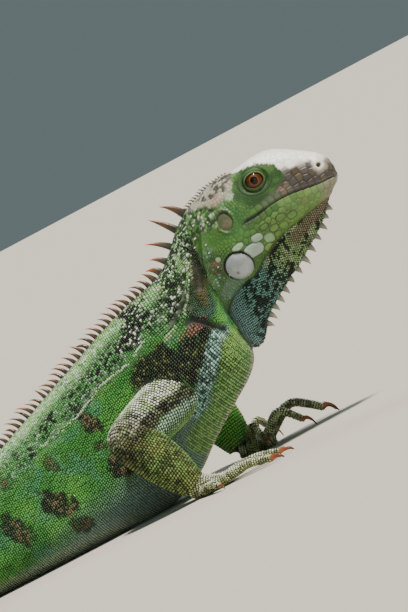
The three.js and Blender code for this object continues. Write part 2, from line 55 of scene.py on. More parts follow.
# ---------------------------------------------------------------- camera
PICTURE = (408, 612)  # width and height in pixels
PIXEL_MM = 0.48  # size of a pixel at the animal's middle plane
VIEW_AZIMUTH = 8.0  # degrees towards the snout from square on to the right side
VIEW_ELEVATION = 2.0
VIEW_ROLL = 28.0  # how steeply the floor rises to the right
VIEW_DISTANCE = 2200.0
ANCHOR = (72.0, 0.0, 0.0)  # the point of the floor that is seen at ANCHOR_PIXEL
ANCHOR_PIXEL = (212, 485)


def add_camera():
    """The camera looks along -back and is rolled about it. Its target is found from the anchor."""
    azimuth, elevation, roll = (math.radians(v) for v in (VIEW_AZIMUTH, VIEW_ELEVATION, VIEW_ROLL))
    right = Vector((math.cos(azimuth), math.sin(azimuth), 0))
    back = Vector((
        math.sin(azimuth) * math.cos(elevation),
        -math.cos(azimuth) * math.cos(elevation),
        math.sin(elevation),
    ))
    up = back.cross(right)
    across = right * math.cos(roll) - up * math.sin(roll)
    upward = right * math.sin(roll) + up * math.cos(roll)
    middle = [(PICTURE[0] / 2 - ANCHOR_PIXEL[0]), (ANCHOR_PIXEL[1] - PICTURE[1] / 2)]
    target = Vector(ANCHOR) + (across * middle[0] + upward * middle[1]) * PIXEL_MM
    camera = bpy.data.objects.new("camera", bpy.data.cameras.new("camera"))
    turn = Matrix((across, upward, back)).transposed().to_4x4()
    camera.matrix_world = Matrix.Translation((target + back * VIEW_DISTANCE) * MM) @ turn
    camera.data.sensor_width = 36
    camera.data.lens = 36 * VIEW_DISTANCE / (PICTURE[1] * PIXEL_MM)
    bpy.context.scene.collection.objects.link(camera)
    bpy.context.scene.camera = camera


add_camera()


# ---------------------------------------------------------------- the animal's measures
# Rings of head, neck and trunk: dorsal x, z; ventral x, z; half width; level of the widest point
# as a share of the height; how square the upper and lower halves are (2 is an ellipse).
RINGS = {
    "rostrum": (195.9, 109.6, 195.2, 102.8, 2.6, 0.08, 2.2, 2.0),
    "muzzle_front": (194.9, 114.0, 194.0, 101.0, 5.4, 0.21, 2.4, 2.0),
    "nostrils": (192.1, 117.2, 191.0, 98.8, 7.4, 0.28, 2.6, 2.0),
    "muzzle": (188.2, 120.3, 187.5, 96.2, 8.9, 0.325, 2.7, 2.1),
    "bridge": (180.0, 125.4, 180.0, 94.6, 10.6, 0.34, 2.8, 2.1),
    "fore_eye": (172.0, 129.7, 172.0, 93.0, 12.4, 0.36, 2.7, 2.1),
    "eyes": (162.5, 130.2, 162.5, 91.2, 14.4, 0.38, 2.6, 2.1),
    "crown": (154.5, 129.1, 154.5, 88.5, 15.8, 0.40, 2.4, 2.1),
    "mouth_corner": (146.8, 129.2, 147.0, 84.6, 16.8, 0.435, 2.2, 2.1),
    "jowls": (138.5, 128.0, 138.6, 79.6, 17.4, 0.43, 2.1, 2.1),
    "head_back": (130.5, 125.4, 129.0, 77.2, 16.4, 0.44, 2.0, 2.0),
    "neck_front": (121.8, 121.6, 119.0, 69.5, 15.0, 0.45, 1.9, 2.0),
    "neck_middle": (113.0, 114.8, 119.0, 58.4, 15.6, 0.45, 1.8, 1.9),
    "neck_base": (104.6, 106.6, 119.8, 47.2, 18.0, 0.45, 1.75, 1.8),
    "breast": (95.7, 100.4, 114.0, 38.8, 20.6, 0.45, 1.75, 1.7),
    "shoulders": (80.7, 96.4, 100.8, 29.8, 23.2, 0.45, 1.75, 1.65),
    "chest": (62.0, 90.7, 84.4, 18.8, 25.4, 0.43, 1.8, 1.7),
    "chest_back": (43.6, 83.5, 68.6, 7.2, 26.8, 0.42, 1.85, 1.9),
    "ribs": (24.5, 76.1, 47.0, -0.4, 27.6, 0.4, 1.9, 2.2),
    "belly_front": (4.4, 68.1, 20.0, -0.6, 28.2, 0.38, 1.9, 2.4),
    "belly": (-16.8, 60.0, -7.0, -0.6, 27.8, 0.37, 1.9, 2.5),
    "loin": (-40.0, 51.7, -34.0, -0.6, 25.5, 0.38, 1.95, 2.4),
    "flank": (-64.5, 44.6, -60.0, -0.5, 22.0, 0.4, 2.0, 2.2),
    "hips": (-88.0, 39.0, -85.0, -0.5, 19.0, 0.42, 2.0, 2.1),
    "vent": (-108.0, 34.0, -106.0, -0.4, 16.2, 0.44, 2.0, 2.1),
}
STATION = {name: i for i, name in enumerate(RINGS)}
VENT = STATION["vent"]
TAIL_LENGTH = 740.0
TAIL_TURN_DEG = 112.0
TAIL_STEPS = 22
LAST = VENT + TAIL_STEPS

# Swellings and hollows: place on the left side, reach, push.
SWELLINGS = (
    ((163, 11.5, 128), 7, 1.0),  # brow
    ((160.2, 14, 120), 7, 1.3),  # eye mound
    ((178, 8, 122), 6, 0.7),  # canthus
    ((172, 11, 114), 5, -0.9),  # hollow before the eye
    ((190.5, 7, 111.8), 3.6, 0.7),  # nostril mound
    ((149, 15, 121), 7, -0.7),  # temple
    ((138, 17, 89), 11, 1.8),  # jowl
    ((121, 14, 92), 11, -1.4),  # hollow of the neck
    ((86, 23, 58), 17, 2.4),  # shoulder
    ((-86, 17, 26), 16, 1.8),  # hip
)
# Folds of loose skin in the side view: points of x and z, height and width. A hollow's height is negative.
FOLDS = {
    "flank": (
        ((86.8, 85.6), (77.9, 76.4), (67.4, 71.1), (50.1, 67.9), (35.5, 60.9), (18.2, 56.1), (-4, 53)),
        1.1, 1.2,
    ),
    "shoulder": (
        ((116.5, 106.5), (112.6, 97.7), (109.4, 90.9), (105.6, 84.4), (98.3, 76.6), (82.8, 70.8)), 1.9, 1.6,
    ),
    "shoulder_hollow": (((111.5, 99), (106.5, 89.5), (100, 81.5), (92, 76.5)), -1.3, 2.2),
    "neck": (
        ((131.4, 117), (127.1, 110.2), (123.5, 102.8), (121.2, 96.2), (119.2, 88), (119.6, 80)), 1.7, 1.6,
    ),
    "neck_hollow": (((124, 112), (118.5, 101), (115, 92), (112, 84)), -1.9, 2.6),
    "nape": (((126, 119), (119, 112), (113, 103.5), (106, 97), (98, 91.5)), 1.1, 1.7),
    "withers": (((110, 106), (103, 99), (95, 92), (88, 84.5), (84, 77)), 0.9, 1.4),
    "collar": (((98, 74.5), (104, 75), (110.4, 69), (117, 62)), -1.9, 1.8),
    "collar_lip": (((97, 78), (104.5, 78.5), (112, 73), (118.5, 66)), 0.9, 1.5),
    "armpit": (((73, 63), (66, 54), (58, 50)), -1.2, 3.0),
    "elbow_flank": (((46, 62), (33, 50), (22, 38)), 0.6, 1.6),
    "belly_flank": (((20, 56), (8, 40), (-6, 28)), 0.6, 1.8),
}
EYE = np.array((160.2, 10.1, 119.7))
EYE_RADIUS = 5.6
NOSTRIL = np.array((190.6, 8.2, 112.2))
EAR = np.array((139.3, 15.9, 109.2))
EAR_SIZE = (3.5, 4.5)
SHIELD = np.array((135.2, 17.2, 87.4))
SHIELD_RADIUS = 7.0

# Throat flap: dorsal x, z; ventral x, z; half width.
DEWLAP = (
    (188.5, 99.5, 187.6, 95.2, 1.2),
    (178.5, 98.0, 177.4, 86.0, 2.2),
    (165.5, 96.0, 162.6, 76.0, 3.0),
    (151.0, 92.0, 147.4, 67.4, 3.7),
    (138.5, 87.0, 135.6, 59.6, 4.2),
    (128.0, 80.0, 127.4, 49.8, 4.0),
    (121.6, 76.0, 121.2, 49.0, 3.0),
    (117.6, 72.0, 117.4, 55.5, 1.3),
)

# Legs: root, bend and end on each side, the foot's direction in degrees and the digits' hump.
ARMS = {
    "right": ((85, -6, 50), (55.5, -45, 39.5), (71, -43, 7.4), -6, 0.5),
    "left": ((85, 6, 50), (79, 50, 38), (87, 45, 7.4), 4, 10),
}
LEGS = {
    "right": ((-88, -12, 26), (-59, -53, 31), (-103, -60, 7.5), -38, 0.5),
    "left": ((-88, 12, 26), (-62, 52, 31), (-107, 58, 7.5), 34, 1.2),
}
ARM_RADII = ((14.0, 13.4, 12.6, 11.4), (11.4, 11.2, 10.0, 6.9))
LEG_RADII = ((15.5, 14.8, 12.6, 9.6), (9.4, 10.0, 7.6, 5.4))
# Digits, the inner one first: spread, length, radius, place along and across the palm.
FINGERS = (
    (48, 13, 2.4, 0.45, 0.75),
    (20, 22, 2.5, 0.95, 0.7),
    (3, 30, 2.6, 1.0, 0.1),
    (-15, 30, 2.5, 0.95, -0.5),
    (-52, 18, 2.3, 0.5, -0.85),
)
TOES = (
    (40, 13, 2.5, 0.6, 0.8),
    (20, 24, 2.6, 0.9, 0.75),
    (8, 36, 2.7, 1.0, 0.3),
    (-6, 48, 2.7, 1.0, -0.25),
    (-48, 25, 2.4, 0.3, -0.85),
)
PALM = (15.0, 7.2)  # length and half width
SOLE = (26.0, 8.2)
CLAW_LENGTH = 6.2
COAT_DEPTH = 0.35  # how far the skin lies inside the solids

DIGITS = {"hand": (ARMS, ARM_RADII, FINGERS, PALM), "foot": (LEGS, LEG_RADII, TOES, SOLE)}


# ---------------------------------------------------------------- numbers and curves
def unit(v):
    """Vectors scaled to length 1."""
    return v / np.maximum(np.linalg.norm(v, axis=-1, keepdims=True), 1e-12)


def smooth(x, low, high):
    """0 below low, 1 above high, and a smooth S between them."""
    t = np.clip((x - low) / (high - low), 0, 1)
    return t * t * (3 - 2 * t)


def bell(x, middle, width):
    """1 at the middle, fading on both sides: exp(-((x - middle) / width)^2)."""
    return np.exp(-((x - middle) / width) ** 2)


def near(points, place, reach):
    """A soft spot round a place."""
    return bell(np.linalg.norm(points - np.asarray(place, float), axis=-1), 0, reach)


def at_each(value, u):
    """A number, or a function of u, as one value for each u."""
    return value(u) if callable(value) else np.full(len(u), value)


def through(rows, u):
    """Catmull-Rom curve through rows of numbers: row i is reached at u = i."""
    rows = np.asarray(rows, float)
    padded = np.vstack([2 * rows[0] - rows[1], rows, 2 * rows[-1] - rows[-2]])
    u = np.clip(np.asarray(u, float), 0, len(rows) - 1)
    i = np.minimum(u.astype(int), len(rows) - 2)
    t = (u - i)[..., None]
    a, b, c, d = (padded[i + k] for k in range(4))
    return b + 0.5 * t * (c - a + t * (2 * a - 5 * b + 4 * c - d + t * (3 * (b - c) + d - a)))


def noise(points, size, seed=0):
    """Smooth noise from 0 to 1: hashed values on a cubic lattice of the given size, blended between."""
    q = np.asarray(points, float) / size
    cell = np.floor(q).astype(np.int64)
    f = q - cell
    f = f * f * (3 - 2 * f)
    total = 0
    for corner in itertools.product((0, 1), repeat=3):
        c = cell + corner
        h = (c[..., 0] * 73856093) ^ (c[..., 1] * 19349663) ^ (c[..., 2] * 83492791) ^ (seed * 83492)
        h = ((h ^ (h >> 13)) * 1274126177) & 0x7FFFFFFF
        value = ((h ^ (h >> 16)) & 0xFFFF) / 65535
        weight = np.prod(np.where(corner, f, 1 - f), axis=-1)
        total = total + weight * value
    return total


def rough_noise(points, size, seed=0):
    """Three octaves of noise, from 0 to 1."""
    return (
        noise(points, size, seed) * 0.55
        + noise(points, size * 0.48, seed + 1) * 0.3
        + noise(points, size * 0.22, seed + 2) * 0.15
    )


# ---------------------------------------------------------------- colours
def linear(hex_colour):
    """An sRGB hex value as linear red, green and blue."""
    value = int(hex_colour.lstrip("#"), 16)
    srgb = np.array([(value >> s & 255) / 255 for s in (16, 8, 0)])
    return np.where(srgb <= 0.04045, srgb / 12.92, ((srgb + 0.055) / 1.055) ** 2.4)


def paint(hex_colour, count):
    """The same colour count times."""
    return np.tile(linear(hex_colour), (count, 1))


def mixed(under, hex_colour, amount):
    """under, covered by a colour to an amount from 0 to 1."""
    amount = np.clip(np.asarray(amount, float), 0, 1)[..., None]
    return under * (1 - amount) + linear(hex_colour) * amount


def layered(under, *layers):
    """under, covered by one layer after another: each is a colour and its amount."""
    for hex_colour, amount in layers:
        under = mixed(under, hex_colour, amount)
    return under


# ---------------------------------------------------------------- surfaces
def tail_rows():
    """Rings on the tail's line over the floor, whose heading turns smoothly to the left."""
    fine = 40
    share = np.arange(TAIL_STEPS * fine) / (TAIL_STEPS * fine)
    heading = np.radians(TAIL_TURN_DEG * smooth(share, 0.05, 0.9) - 7)
    ds = TAIL_LENGTH / TAIL_STEPS / fine
    x = RINGS["vent"][0] - np.cumsum(np.cos(heading) * ds)[fine - 1::fine]
    y = np.cumsum(np.sin(heading) * ds)[fine - 1::fine]
    share = np.arange(1, TAIL_STEPS + 1) / TAIL_STEPS
    along = share * TAIL_LENGTH
    top = 1.2 + 27 * (1 - share) ** 1.15 + 5.8 * np.exp(-along / 22)
    half = top * (0.42 + 0.055 * np.exp(-along / 60))
    same = np.ones(TAIL_STEPS)
    columns = (x, y, top, x, y, -0.03 * top ** 0.5, half, 0.46 * same, 2.0 * same, 2.1 * same)
    return np.stack(columns, axis=1)


BODY = np.vstack([
    np.array([(dx, 0, dz, vx, 0, vz, *rest) for dx, dz, vx, vz, *rest in RINGS.values()]),
    tail_rows(),
])


def signed_power(x, n):
    """|x|^(2/n) with the sign of x."""
    return np.sign(x) * np.abs(x) ** (2 / n)


def superellipse(row, ahead, angle, lift):
    """Points of rings, and the rings' centres.

    A point is centre + side * half width * cos^(2/n) + up * height * sin^(2/n), and lift moves it out.
    """
    dorsal, ventral = row[..., 0:3], row[..., 3:6]
    half, level, top, bottom = (row[..., k:k + 1] for k in range(6, 10))
    span = dorsal - ventral
    height = np.linalg.norm(span, axis=-1, keepdims=True)
    up = span / height
    side = unit(np.cross(up, ahead))
    c, s = np.cos(angle)[..., None], np.sin(angle)[..., None]
    power = np.where(s >= 0, top, bottom)
    reach = np.where(s >= 0, 1 - level, level) * height
    centre = ventral + level * span
    out = side * (half + lift) * signed_power(c, power) + up * (reach + lift) * signed_power(s, power)
    return centre + out, centre


def along_line(x, z, line):
    """Distance in the side view from the points x, z to a line, and the share of the line passed there."""
    line = np.asarray(line, float)
    lengths = np.linalg.norm(np.diff(line, axis=0), axis=1)
    passed = np.concatenate([[0], np.cumsum(lengths)])
    best, share = np.full(x.shape, 1e9), np.zeros(x.shape)
    for i, (a, b) in enumerate(zip(line[:-1], line[1:])):
        d = (b - a) / lengths[i]
        t = np.clip((x - a[0]) * d[0] + (z - a[1]) * d[1], 0, lengths[i])
        away = np.hypot(x - a[0] - t * d[0], z - a[1] - t * d[1])
        share = np.where(away < best, (passed[i] + t) / passed[-1], share)
        best = np.minimum(best, away)
    return best, share


def fold_height(points):
    """How far the loose skin stands out: height * exp(-(distance / width)^2), faded at a fold's ends."""
    total = 0
    for line, height, width in FOLDS.values():
        away, share = along_line(points[..., 0], points[..., 2], line)
        rise = height * bell(away, 0, width)
        total = total + rise * smooth(share, 0, 0.15) * smooth(1 - share, 0, 0.15)
    return total * smooth(np.abs(points[..., 1]), 3, 8)


def loose_skin(points):
    """Uneven skin on neck and shoulder: noise in lumps of a few mm."""
    x, z = points[..., 0], points[..., 2]
    where = smooth(x, 72, 92) * (1 - smooth(x, 126, 132)) * smooth(z + 0.5 * x, 108, 122)
    return where * smooth(np.abs(points[..., 1]), 2, 6) * 1.5 * (rough_noise(points, 5.5, 131) - 0.5)


def on_left(points):
    """Points of the right side moved to the same place on the left."""
    return points * (1, 0, 1) + np.abs(points) * (0, 1, 0)


def body_surface(u, angle, lift=0.0):
    """The body from snout (u = 0) to tail tip. angle 0 is the left side, a quarter turn the back."""
    u, angle = np.broadcast_arrays(np.asarray(u, float), angle)
    row = through(BODY, u)
    ahead_row = through(BODY, np.maximum(u - 0.05, 0))
    behind_row = through(BODY, np.minimum(u + 0.05, LAST))
    ahead = unit((ahead_row - behind_row)[..., 0:3] + (ahead_row - behind_row)[..., 3:6])
    point, centre = superellipse(row, ahead, angle, lift)
    mirrored = on_left(point)
    amount = fold_height(point) + loose_skin(point)
    for place, reach, push in SWELLINGS:
        amount = amount + push * near(mirrored, place, reach)
    return point + unit(point - centre) * amount[..., None]


def dewlap_surface(u, angle, lift=0.0):
    """The throat flap from chin (u = 0) to its rear edge."""
    u, angle = np.broadcast_arrays(u, angle)
    rows = np.array([(dx, 0, dz, vx, 0, vz, w, 0.62, 2.2, 1.7) for dx, dz, vx, vz, w in DEWLAP])
    ahead = np.zeros(u.shape + (3,)) + (1, 0, 0)
    return superellipse(through(rows, u), ahead, angle, lift)[0]


def tube_surface(rows, across, u, angle, lift=0.0):
    """A tube through rows of x, y, z, half width, half height, with width along across."""
    u, angle = np.broadcast_arrays(u, angle)
    rows = np.asarray(rows, float)
    at = through(rows, u)
    last = len(rows) - 1
    before, after = np.maximum(u - 0.05, 0), np.minimum(u + 0.05, last)
    along = unit(through(rows, after)[..., :3] - through(rows, before)[..., :3])
    up = unit(np.cross(along, across))
    side = unit(np.cross(up, along))
    wide = (at[..., 3:4] + lift) * np.cos(angle)[..., None]
    high = (at[..., 4:5] + lift) * np.sin(angle)[..., None]
    return at[..., :3] + side * wide + up * high


def frames(surface, u, angle):
    """Point, direction of growing u, and outward normal, from small steps in u and angle."""
    du, da = 0.02, 0.03
    point = surface(u, angle)
    back = unit(surface(u + du, angle) - surface(u - du, angle))
    across = surface(u, angle + da) - surface(u, angle - da)
    normal = unit(np.cross(across, back))
    out = surface(u, angle, 1.0) - point
    normal = normal * np.sign(np.sum(normal * out, axis=-1, keepdims=True) + 1e-9)
    return point, back, normal


def arcs(surface, u, start, turn=2 * math.pi, fine=200):
    """Angles from start through turn round each ring of u, and the distance passed at each, in mm."""
    angle = start + np.linspace(0, turn, fine + 1)
    points = surface(np.asarray(u)[:, None], angle[None, :])
    step = np.linalg.norm(np.diff(points, axis=1), axis=2)
    return angle, np.concatenate([np.zeros((len(u), 1)), np.cumsum(step, axis=1)], axis=1)


def stations(surface, start, end, pitch, angle=math.pi):
    """Stations whose distance along the line at angle is pitch, a number or a function of u, in mm."""
    fine = np.linspace(start, end, 1600)
    line = surface(fine, np.full_like(fine, angle))
    middle = (fine[1:] + fine[:-1]) / 2
    wanted = pitch(middle) if callable(pitch) else pitch
    count = np.concatenate([[0], np.cumsum(np.linalg.norm(np.diff(line, axis=0), axis=1) / wanted)])
    return np.interp(np.arange(0.3, count[-1]), count, fine)


# ---------------------------------------------------------------- meshes
def tube_faces(rings, sides):
    """Quads of a grid of rings, closed round each ring."""
    i, k = np.meshgrid(np.arange(rings - 1), np.arange(sides), indexing="ij")
    n = (k + 1) % sides
    quads = np.stack([i * sides + k, (i + 1) * sides + k, (i + 1) * sides + n, i * sides + n], axis=-1)
    return quads.reshape(-1, 4)


def closed_tube(grid):
    """Points and faces of a grid (rings, sides, 3), with a fan of triangles over each end."""
    rings, sides = grid.shape[:2]
    points = np.vstack([grid.reshape(-1, 3), grid[0].mean(0)[None], grid[-1].mean(0)[None]])
    k = np.arange(sides)
    n = (k + 1) % sides
    start = np.stack([np.full(sides, rings * sides), k, n], axis=1)
    last = (rings - 1) * sides
    end = np.stack([np.full(sides, rings * sides + 1), last + n, last + k], axis=1)
    return turned_out(points, [tube_faces(rings, sides), start, end])


def turned_out(points, faces):
    """The same faces, turned over if they enclose a negative volume."""
    volume = 0
    for block in faces:
        for j in range(1, block.shape[1] - 1):
            a, b, c = (points[block[:, k]] for k in (0, j, j + 1))
            volume += np.einsum("ij,ij->", a, np.cross(b, c))
    return points, [block if volume > 0 else block[:, ::-1] for block in faces]


def joined(parts):
    """Several (points, [faces]) as one."""
    points, faces, start = [], [], 0
    for part_points, blocks in parts:
        points.append(part_points)
        faces += [block + start for block in blocks]
        start += len(part_points)
    return np.vstack(points), faces


def make_mesh(name, points, faces):
    """Points in mm and blocks of faces into a Blender mesh, in metres."""
    mesh = bpy.data.meshes.new(name)
    points = np.asarray(points, np.float32) * MM
    loops = np.concatenate([block.ravel() for block in faces]).astype(np.int32)
    sizes = np.concatenate([np.full(len(block), block.shape[1]) for block in faces]).astype(np.int32)
    starts = np.concatenate([[0], np.cumsum(sizes)[:-1]]).astype(np.int32)
    mesh.vertices.add(len(points))
    mesh.vertices.foreach_set("co", points.ravel())
    mesh.loops.add(len(loops))
    mesh.loops.foreach_set("vertex_index", loops)
    mesh.polygons.add(len(sizes))
    mesh.polygons.foreach_set("loop_start", starts)
    mesh.polygons.foreach_set("loop_total", sizes)
    mesh.polygons.foreach_set("use_smooth", np.ones(len(sizes), bool))
    mesh.update(calc_edges=True)
    return mesh


def give_paint(mesh, colours, shade=None):
    """Colour at each point as attribute paint, and a roughness or groove mask as attribute shade."""
    colours = np.asarray(colours, np.float32)
    rgba = np.concatenate([colours, np.ones((len(colours), 1), np.float32)], axis=1)
    mesh.attributes.new("paint", "FLOAT_COLOR", "POINT").data.foreach_set("color", rgba.ravel())
    shade = np.zeros(len(colours), np.float32) if shade is None else shade.astype(np.float32)
    mesh.attributes.new("shade", "FLOAT", "POINT").data.foreach_set("value", shade)


def give_bake_map(mesh, uv):
    """The map OFBake from one place for each point."""
    loops = np.zeros(len(mesh.loops), np.int32)
    mesh.loops.foreach_get("vertex_index", loops)
    mesh.uv_layers.new(name="OFBake").data.foreach_set("uv", uv[loops].astype(np.float32).ravel())


def add_piece(name, mesh, material, replaces=()):
    """A piece of the model from a mesh: its material and the CAD's solids it stands for."""
    piece = bpy.data.objects.new(name, mesh)
    bpy.context.scene.collection.objects.link(piece)
    mesh.materials.append(material)
    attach(piece, ROOT)
    if replaces:
        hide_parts(*replaces)
    return piece


# ---------------------------------------------------------------- materials
def node(tree, kind, links=None, **settings):
    """Adds a node, sets its properties and inputs, and links its inputs to other nodes' outputs."""
    made = tree.nodes.new(kind)
    for key, value in settings.items():
        if hasattr(made, key):
            setattr(made, key, value)
        else:
            made.inputs[key.replace("_", " ")].default_value = value
    for key, source in (links or {}).items():
        tree.links.new(source, made.inputs[key])
    return made


def new_material(name, **settings):
    """A material of one principled shader with these inputs: the material, its node tree and the shader."""
    material = bpy.data.materials.new(name)
    material.use_nodes = True
    tree = material.node_tree
    tree.nodes.clear()
    shader = node(tree, "ShaderNodeBsdfPrincipled", **settings)
    node(tree, "ShaderNodeOutputMaterial", {"Surface": shader.outputs[0]})
    return material, tree, shader


def attribute(tree, name):
    """A node that reads one of the mesh's attributes."""
    return node(tree, "ShaderNodeAttribute", attribute_name=name)


def noise_node(tree, size_mm, detail):
    """Noise in lumps of size_mm over the object's own coordinates."""
    place = node(tree, "ShaderNodeTexCoord").outputs["Object"]
    made = node(tree, "ShaderNodeTexNoise", {"Vector": place}, Scale=1 / (size_mm * MM), Detail=detail)
    return made.outputs["Fac"]


def ranged(tree, source, low, high, from_low=0.3, from_high=0.7):
    """A value's range from_low to from_high, stretched to low to high."""
    made = node(
        tree, "ShaderNodeMapRange", {"Value": source},
        From_Min=from_low, From_Max=from_high, To_Min=low, To_Max=high,
    )
    return made.outputs[0]


def bumped(tree, shader, height, strength, depth_mm):
    """Small relief on a shader from a height."""
    bump = node(tree, "ShaderNodeBump", {"Height": height}, Strength=strength, Distance=depth_mm * MM)
    tree.links.new(bump.outputs[0], shader.inputs["Normal"])


def scale_horn(name, roughness, grain_mm, bump_mm, mottle):
    """Keratin over pigment: satin, each scale its own colour, with fine pits that catch the light."""
    material, tree, shader = new_material(name, IOR=1.5)
    grain = noise_node(tree, grain_mm, 3.0)
    cloud = noise_node(tree, 6, 2.0)
    tinted = node(tree, "ShaderNodeHueSaturation", {
        "Color": attribute(tree, "paint").outputs["Color"],
        "Value": ranged(tree, grain, 1 - mottle, 1 + mottle),
        "Hue": ranged(tree, cloud, 0.492, 0.508),
    })
    tree.links.new(tinted.outputs[0], shader.inputs["Base Color"])
    shade = attribute(tree, "shade").outputs["Fac"]
    gloss = ranged(tree, shade, roughness, min(roughness + 0.25, 0.95), 0.0, 1.0)
    tree.links.new(gloss, shader.inputs["Roughness"])
    bumped(tree, shader, grain, 0.6, bump_mm)
    return material


def horn(name, glow_mm, roughness, streaks_mm):
    """Solid keratin, as in nails: fairly glossy and streaked, with light that passes glow_mm through it."""
    material, tree, shader = new_material(
        name, Roughness=roughness, IOR=1.54, Subsurface_Weight=0.15, Subsurface_Scale=glow_mm * MM,
    )
    streaks = noise_node(tree, streaks_mm, 4.0)
    tinted = node(tree, "ShaderNodeHueSaturation", {
        "Color": attribute(tree, "paint").outputs["Color"], "Value": ranged(tree, streaks, 0.78, 1.18),
    })
    tree.links.new(tinted.outputs[0], shader.inputs["Base Color"])
    bumped(tree, shader, streaks, 0.5, 0.15)
    return material


def wet_eye():
    """Iris under a clear cornea: rings of colour by distance from the eye's axis, mirror-wet on top."""
    material, tree, shader = new_material(
        "iris_under_cornea", Roughness=0.45, Specular_IOR_Level=0.1,
        Coat_Weight=0.8, Coat_Roughness=0.02, Coat_IOR=1.38,
    )
    flecks = ranged(tree, noise_node(tree, 0.5, 3.0), -0.012, 0.012, 0.0, 1.0)
    ring = attribute(tree, "shade").outputs["Fac"]
    wavy = node(tree, "ShaderNodeMath", {0: ring, 1: flecks}, operation="ADD")
    ramp = node(tree, "ShaderNodeValToRGB", {"Fac": wavy.outputs[0]})
    set_ramp(ramp, EYE_RINGS)
    tree.links.new(ramp.outputs["Color"], shader.inputs["Base Color"])
    return material


# Colour by distance from the eye's axis, as a share of the eye's radius: pupil, a brown ring, iris and
# dark rim.
EYE_RINGS = (
    (0.0, "#020202"), (0.33, "#030202"), (0.355, "#7A4E1C"), (0.42, "#5E330F"), (0.52, "#44220A"),
    (0.62, "#542B08"), (0.69, "#281207"), (0.75, "#100905"), (1.0, "#080605"),
)


def set_ramp(ramp, stops):
    """A colour ramp's stops: places and colours."""
    elements = ramp.color_ramp.elements
    while len(elements) > 1:
        elements.remove(elements[-1])
    for i, (place, colour) in enumerate(stops):
        element = elements[0] if i == 0 else elements.new(place)
        element.position = place
        element.color = (*linear(colour), 1)


# ---------------------------------------------------------------- limbs
def leg_tubes(root, bend, end, radii):
    """Rows of a leg's two tubes, with round ends where they meet, and the hinge's direction."""
    root, bend, end = (np.array(p, float) for p in (root, bend, end))

    def row(place, radius):
        return [*place, radius, radius]

    def straight(start, stop, sizes):
        return [row(start + (stop - start) * t, r) for t, r in zip((0, 0.33, 0.66, 1), sizes)]

    def round_end(start, radius):
        beyond = unit(bend - start)
        return [
            row(bend + beyond * radius * 0.6, radius * 0.8),
            row(bend + beyond * radius * 0.95, radius * 0.32),
        ]

    upper = straight(root, bend, radii[0]) + round_end(root, radii[0][3])
    lower = round_end(end, radii[1][0])[::-1] + straight(bend, end, radii[1])
    return upper, lower, unit(np.cross(bend - root, end - bend))


def heading(degrees):
    """A level direction, in degrees from straight ahead to the left."""
    return np.array((math.cos(math.radians(degrees)), math.sin(math.radians(degrees)), 0))


def digit_rows(start, way, length, radius, arch):
    """A digit from start along way, humped by arch, and its claw's rows."""
    def row(ahead, lift, wide, high):
        return [*(start + way * ahead)[:2], lift, wide, high]

    reach = length * 1.08
    size = min(max(length / 24, 0.72), 1.1)
    root = reach - 0.5
    digit = [
        row(0, 3.0, radius * 1.15, radius * 1.1),
        row(length * 0.3, radius * 1.35 + arch * 0.6, radius, radius),
        row(length * 0.62, radius * 1.75 + arch, radius * 0.86, radius * 0.86),
        row(length * 0.88, radius * 1.35 + arch * 0.7, radius * 0.78, radius * 0.82),
        row(reach, radius * 0.95 + arch * 0.3, radius * 0.62, radius * 0.74),
    ]
    claw = [
        row(root - 0.4, radius * 0.95 + arch * 0.3, 0.95 * size, 1.3 * size),
        row(root + CLAW_LENGTH * 0.4 * size, radius * 1.02 + arch * 0.32, 0.75 * size, 1.1 * size),
        row(root + CLAW_LENGTH * 0.78 * size, radius * 0.72 + arch * 0.18, 0.48 * size, 0.7 * size),
        row(root + CLAW_LENGTH * size, 0.5, 0.2, 0.26),
    ]
    return digit, claw


def foot_tubes(end, aim, arch, hand, digits, sole, wrist_radius):
    """Rows of the palm, of each digit and of each claw."""
    length, half = sole
    ground = np.array((end[0], end[1], 0.0))
    ahead, across = heading(aim), heading(aim + 90)

    def row(share, lift, wide, high):
        return [*(ground + ahead * length * share)[:2], lift, wide, high]

    palm = [
        row(-0.12, end[2] * 0.95, wrist_radius * 0.9, wrist_radius * 0.9),
        row(0.25, end[2] * 0.72, half * 0.8, wrist_radius * 0.78),
        row(0.7, 3.4, half, 3.7),
        row(1.12, 2.7, half * 0.8, 2.7),
    ]
    grown = []
    for spread, size, radius, along, beside in digits:
        start = ground + ahead * (length * along - 3) - across * hand * half * beside * 0.8
        way = heading(aim - hand * spread)
        grown.append((way, *digit_rows(start, way, size, radius, arch)))
    return palm, across, grown


class Limb:
    """One leg: the rows and the width's direction of its tubes, from the body down, and of its claws."""

    def __init__(self, kind, side):
        places, radii, digits, sole = DIGITS[kind]
        root, self.bend, end, aim, arch = places[side]
        upper, lower, hinge = leg_tubes(root, self.bend, end, radii)
        palm, across, grown = foot_tubes(end, aim, arch, SIDES[side], digits, sole, radii[1][3])
        self.name = f"{kind}_{side}"
        self.tubes = [(upper, hinge), (lower, hinge), (palm, across)]
        self.tubes += [(rows, heading_across(way)) for way, rows, _ in grown]
        self.claws = [(rows, heading_across(way)) for way, _, rows in grown]


def heading_across(way):
    """The level direction a quarter turn to the left of way."""
    return np.array((-way[1], way[0], 0))


def tube_of(rows_and_across):
    """A tube as a surface function of u, angle and lift."""
    rows, across = rows_and_across
    return lambda u, angle, lift=0.0: tube_surface(rows, across, u, angle, lift)


limbs = {(kind, side): Limb(kind, side) for kind in DIGITS for side in SIDES}


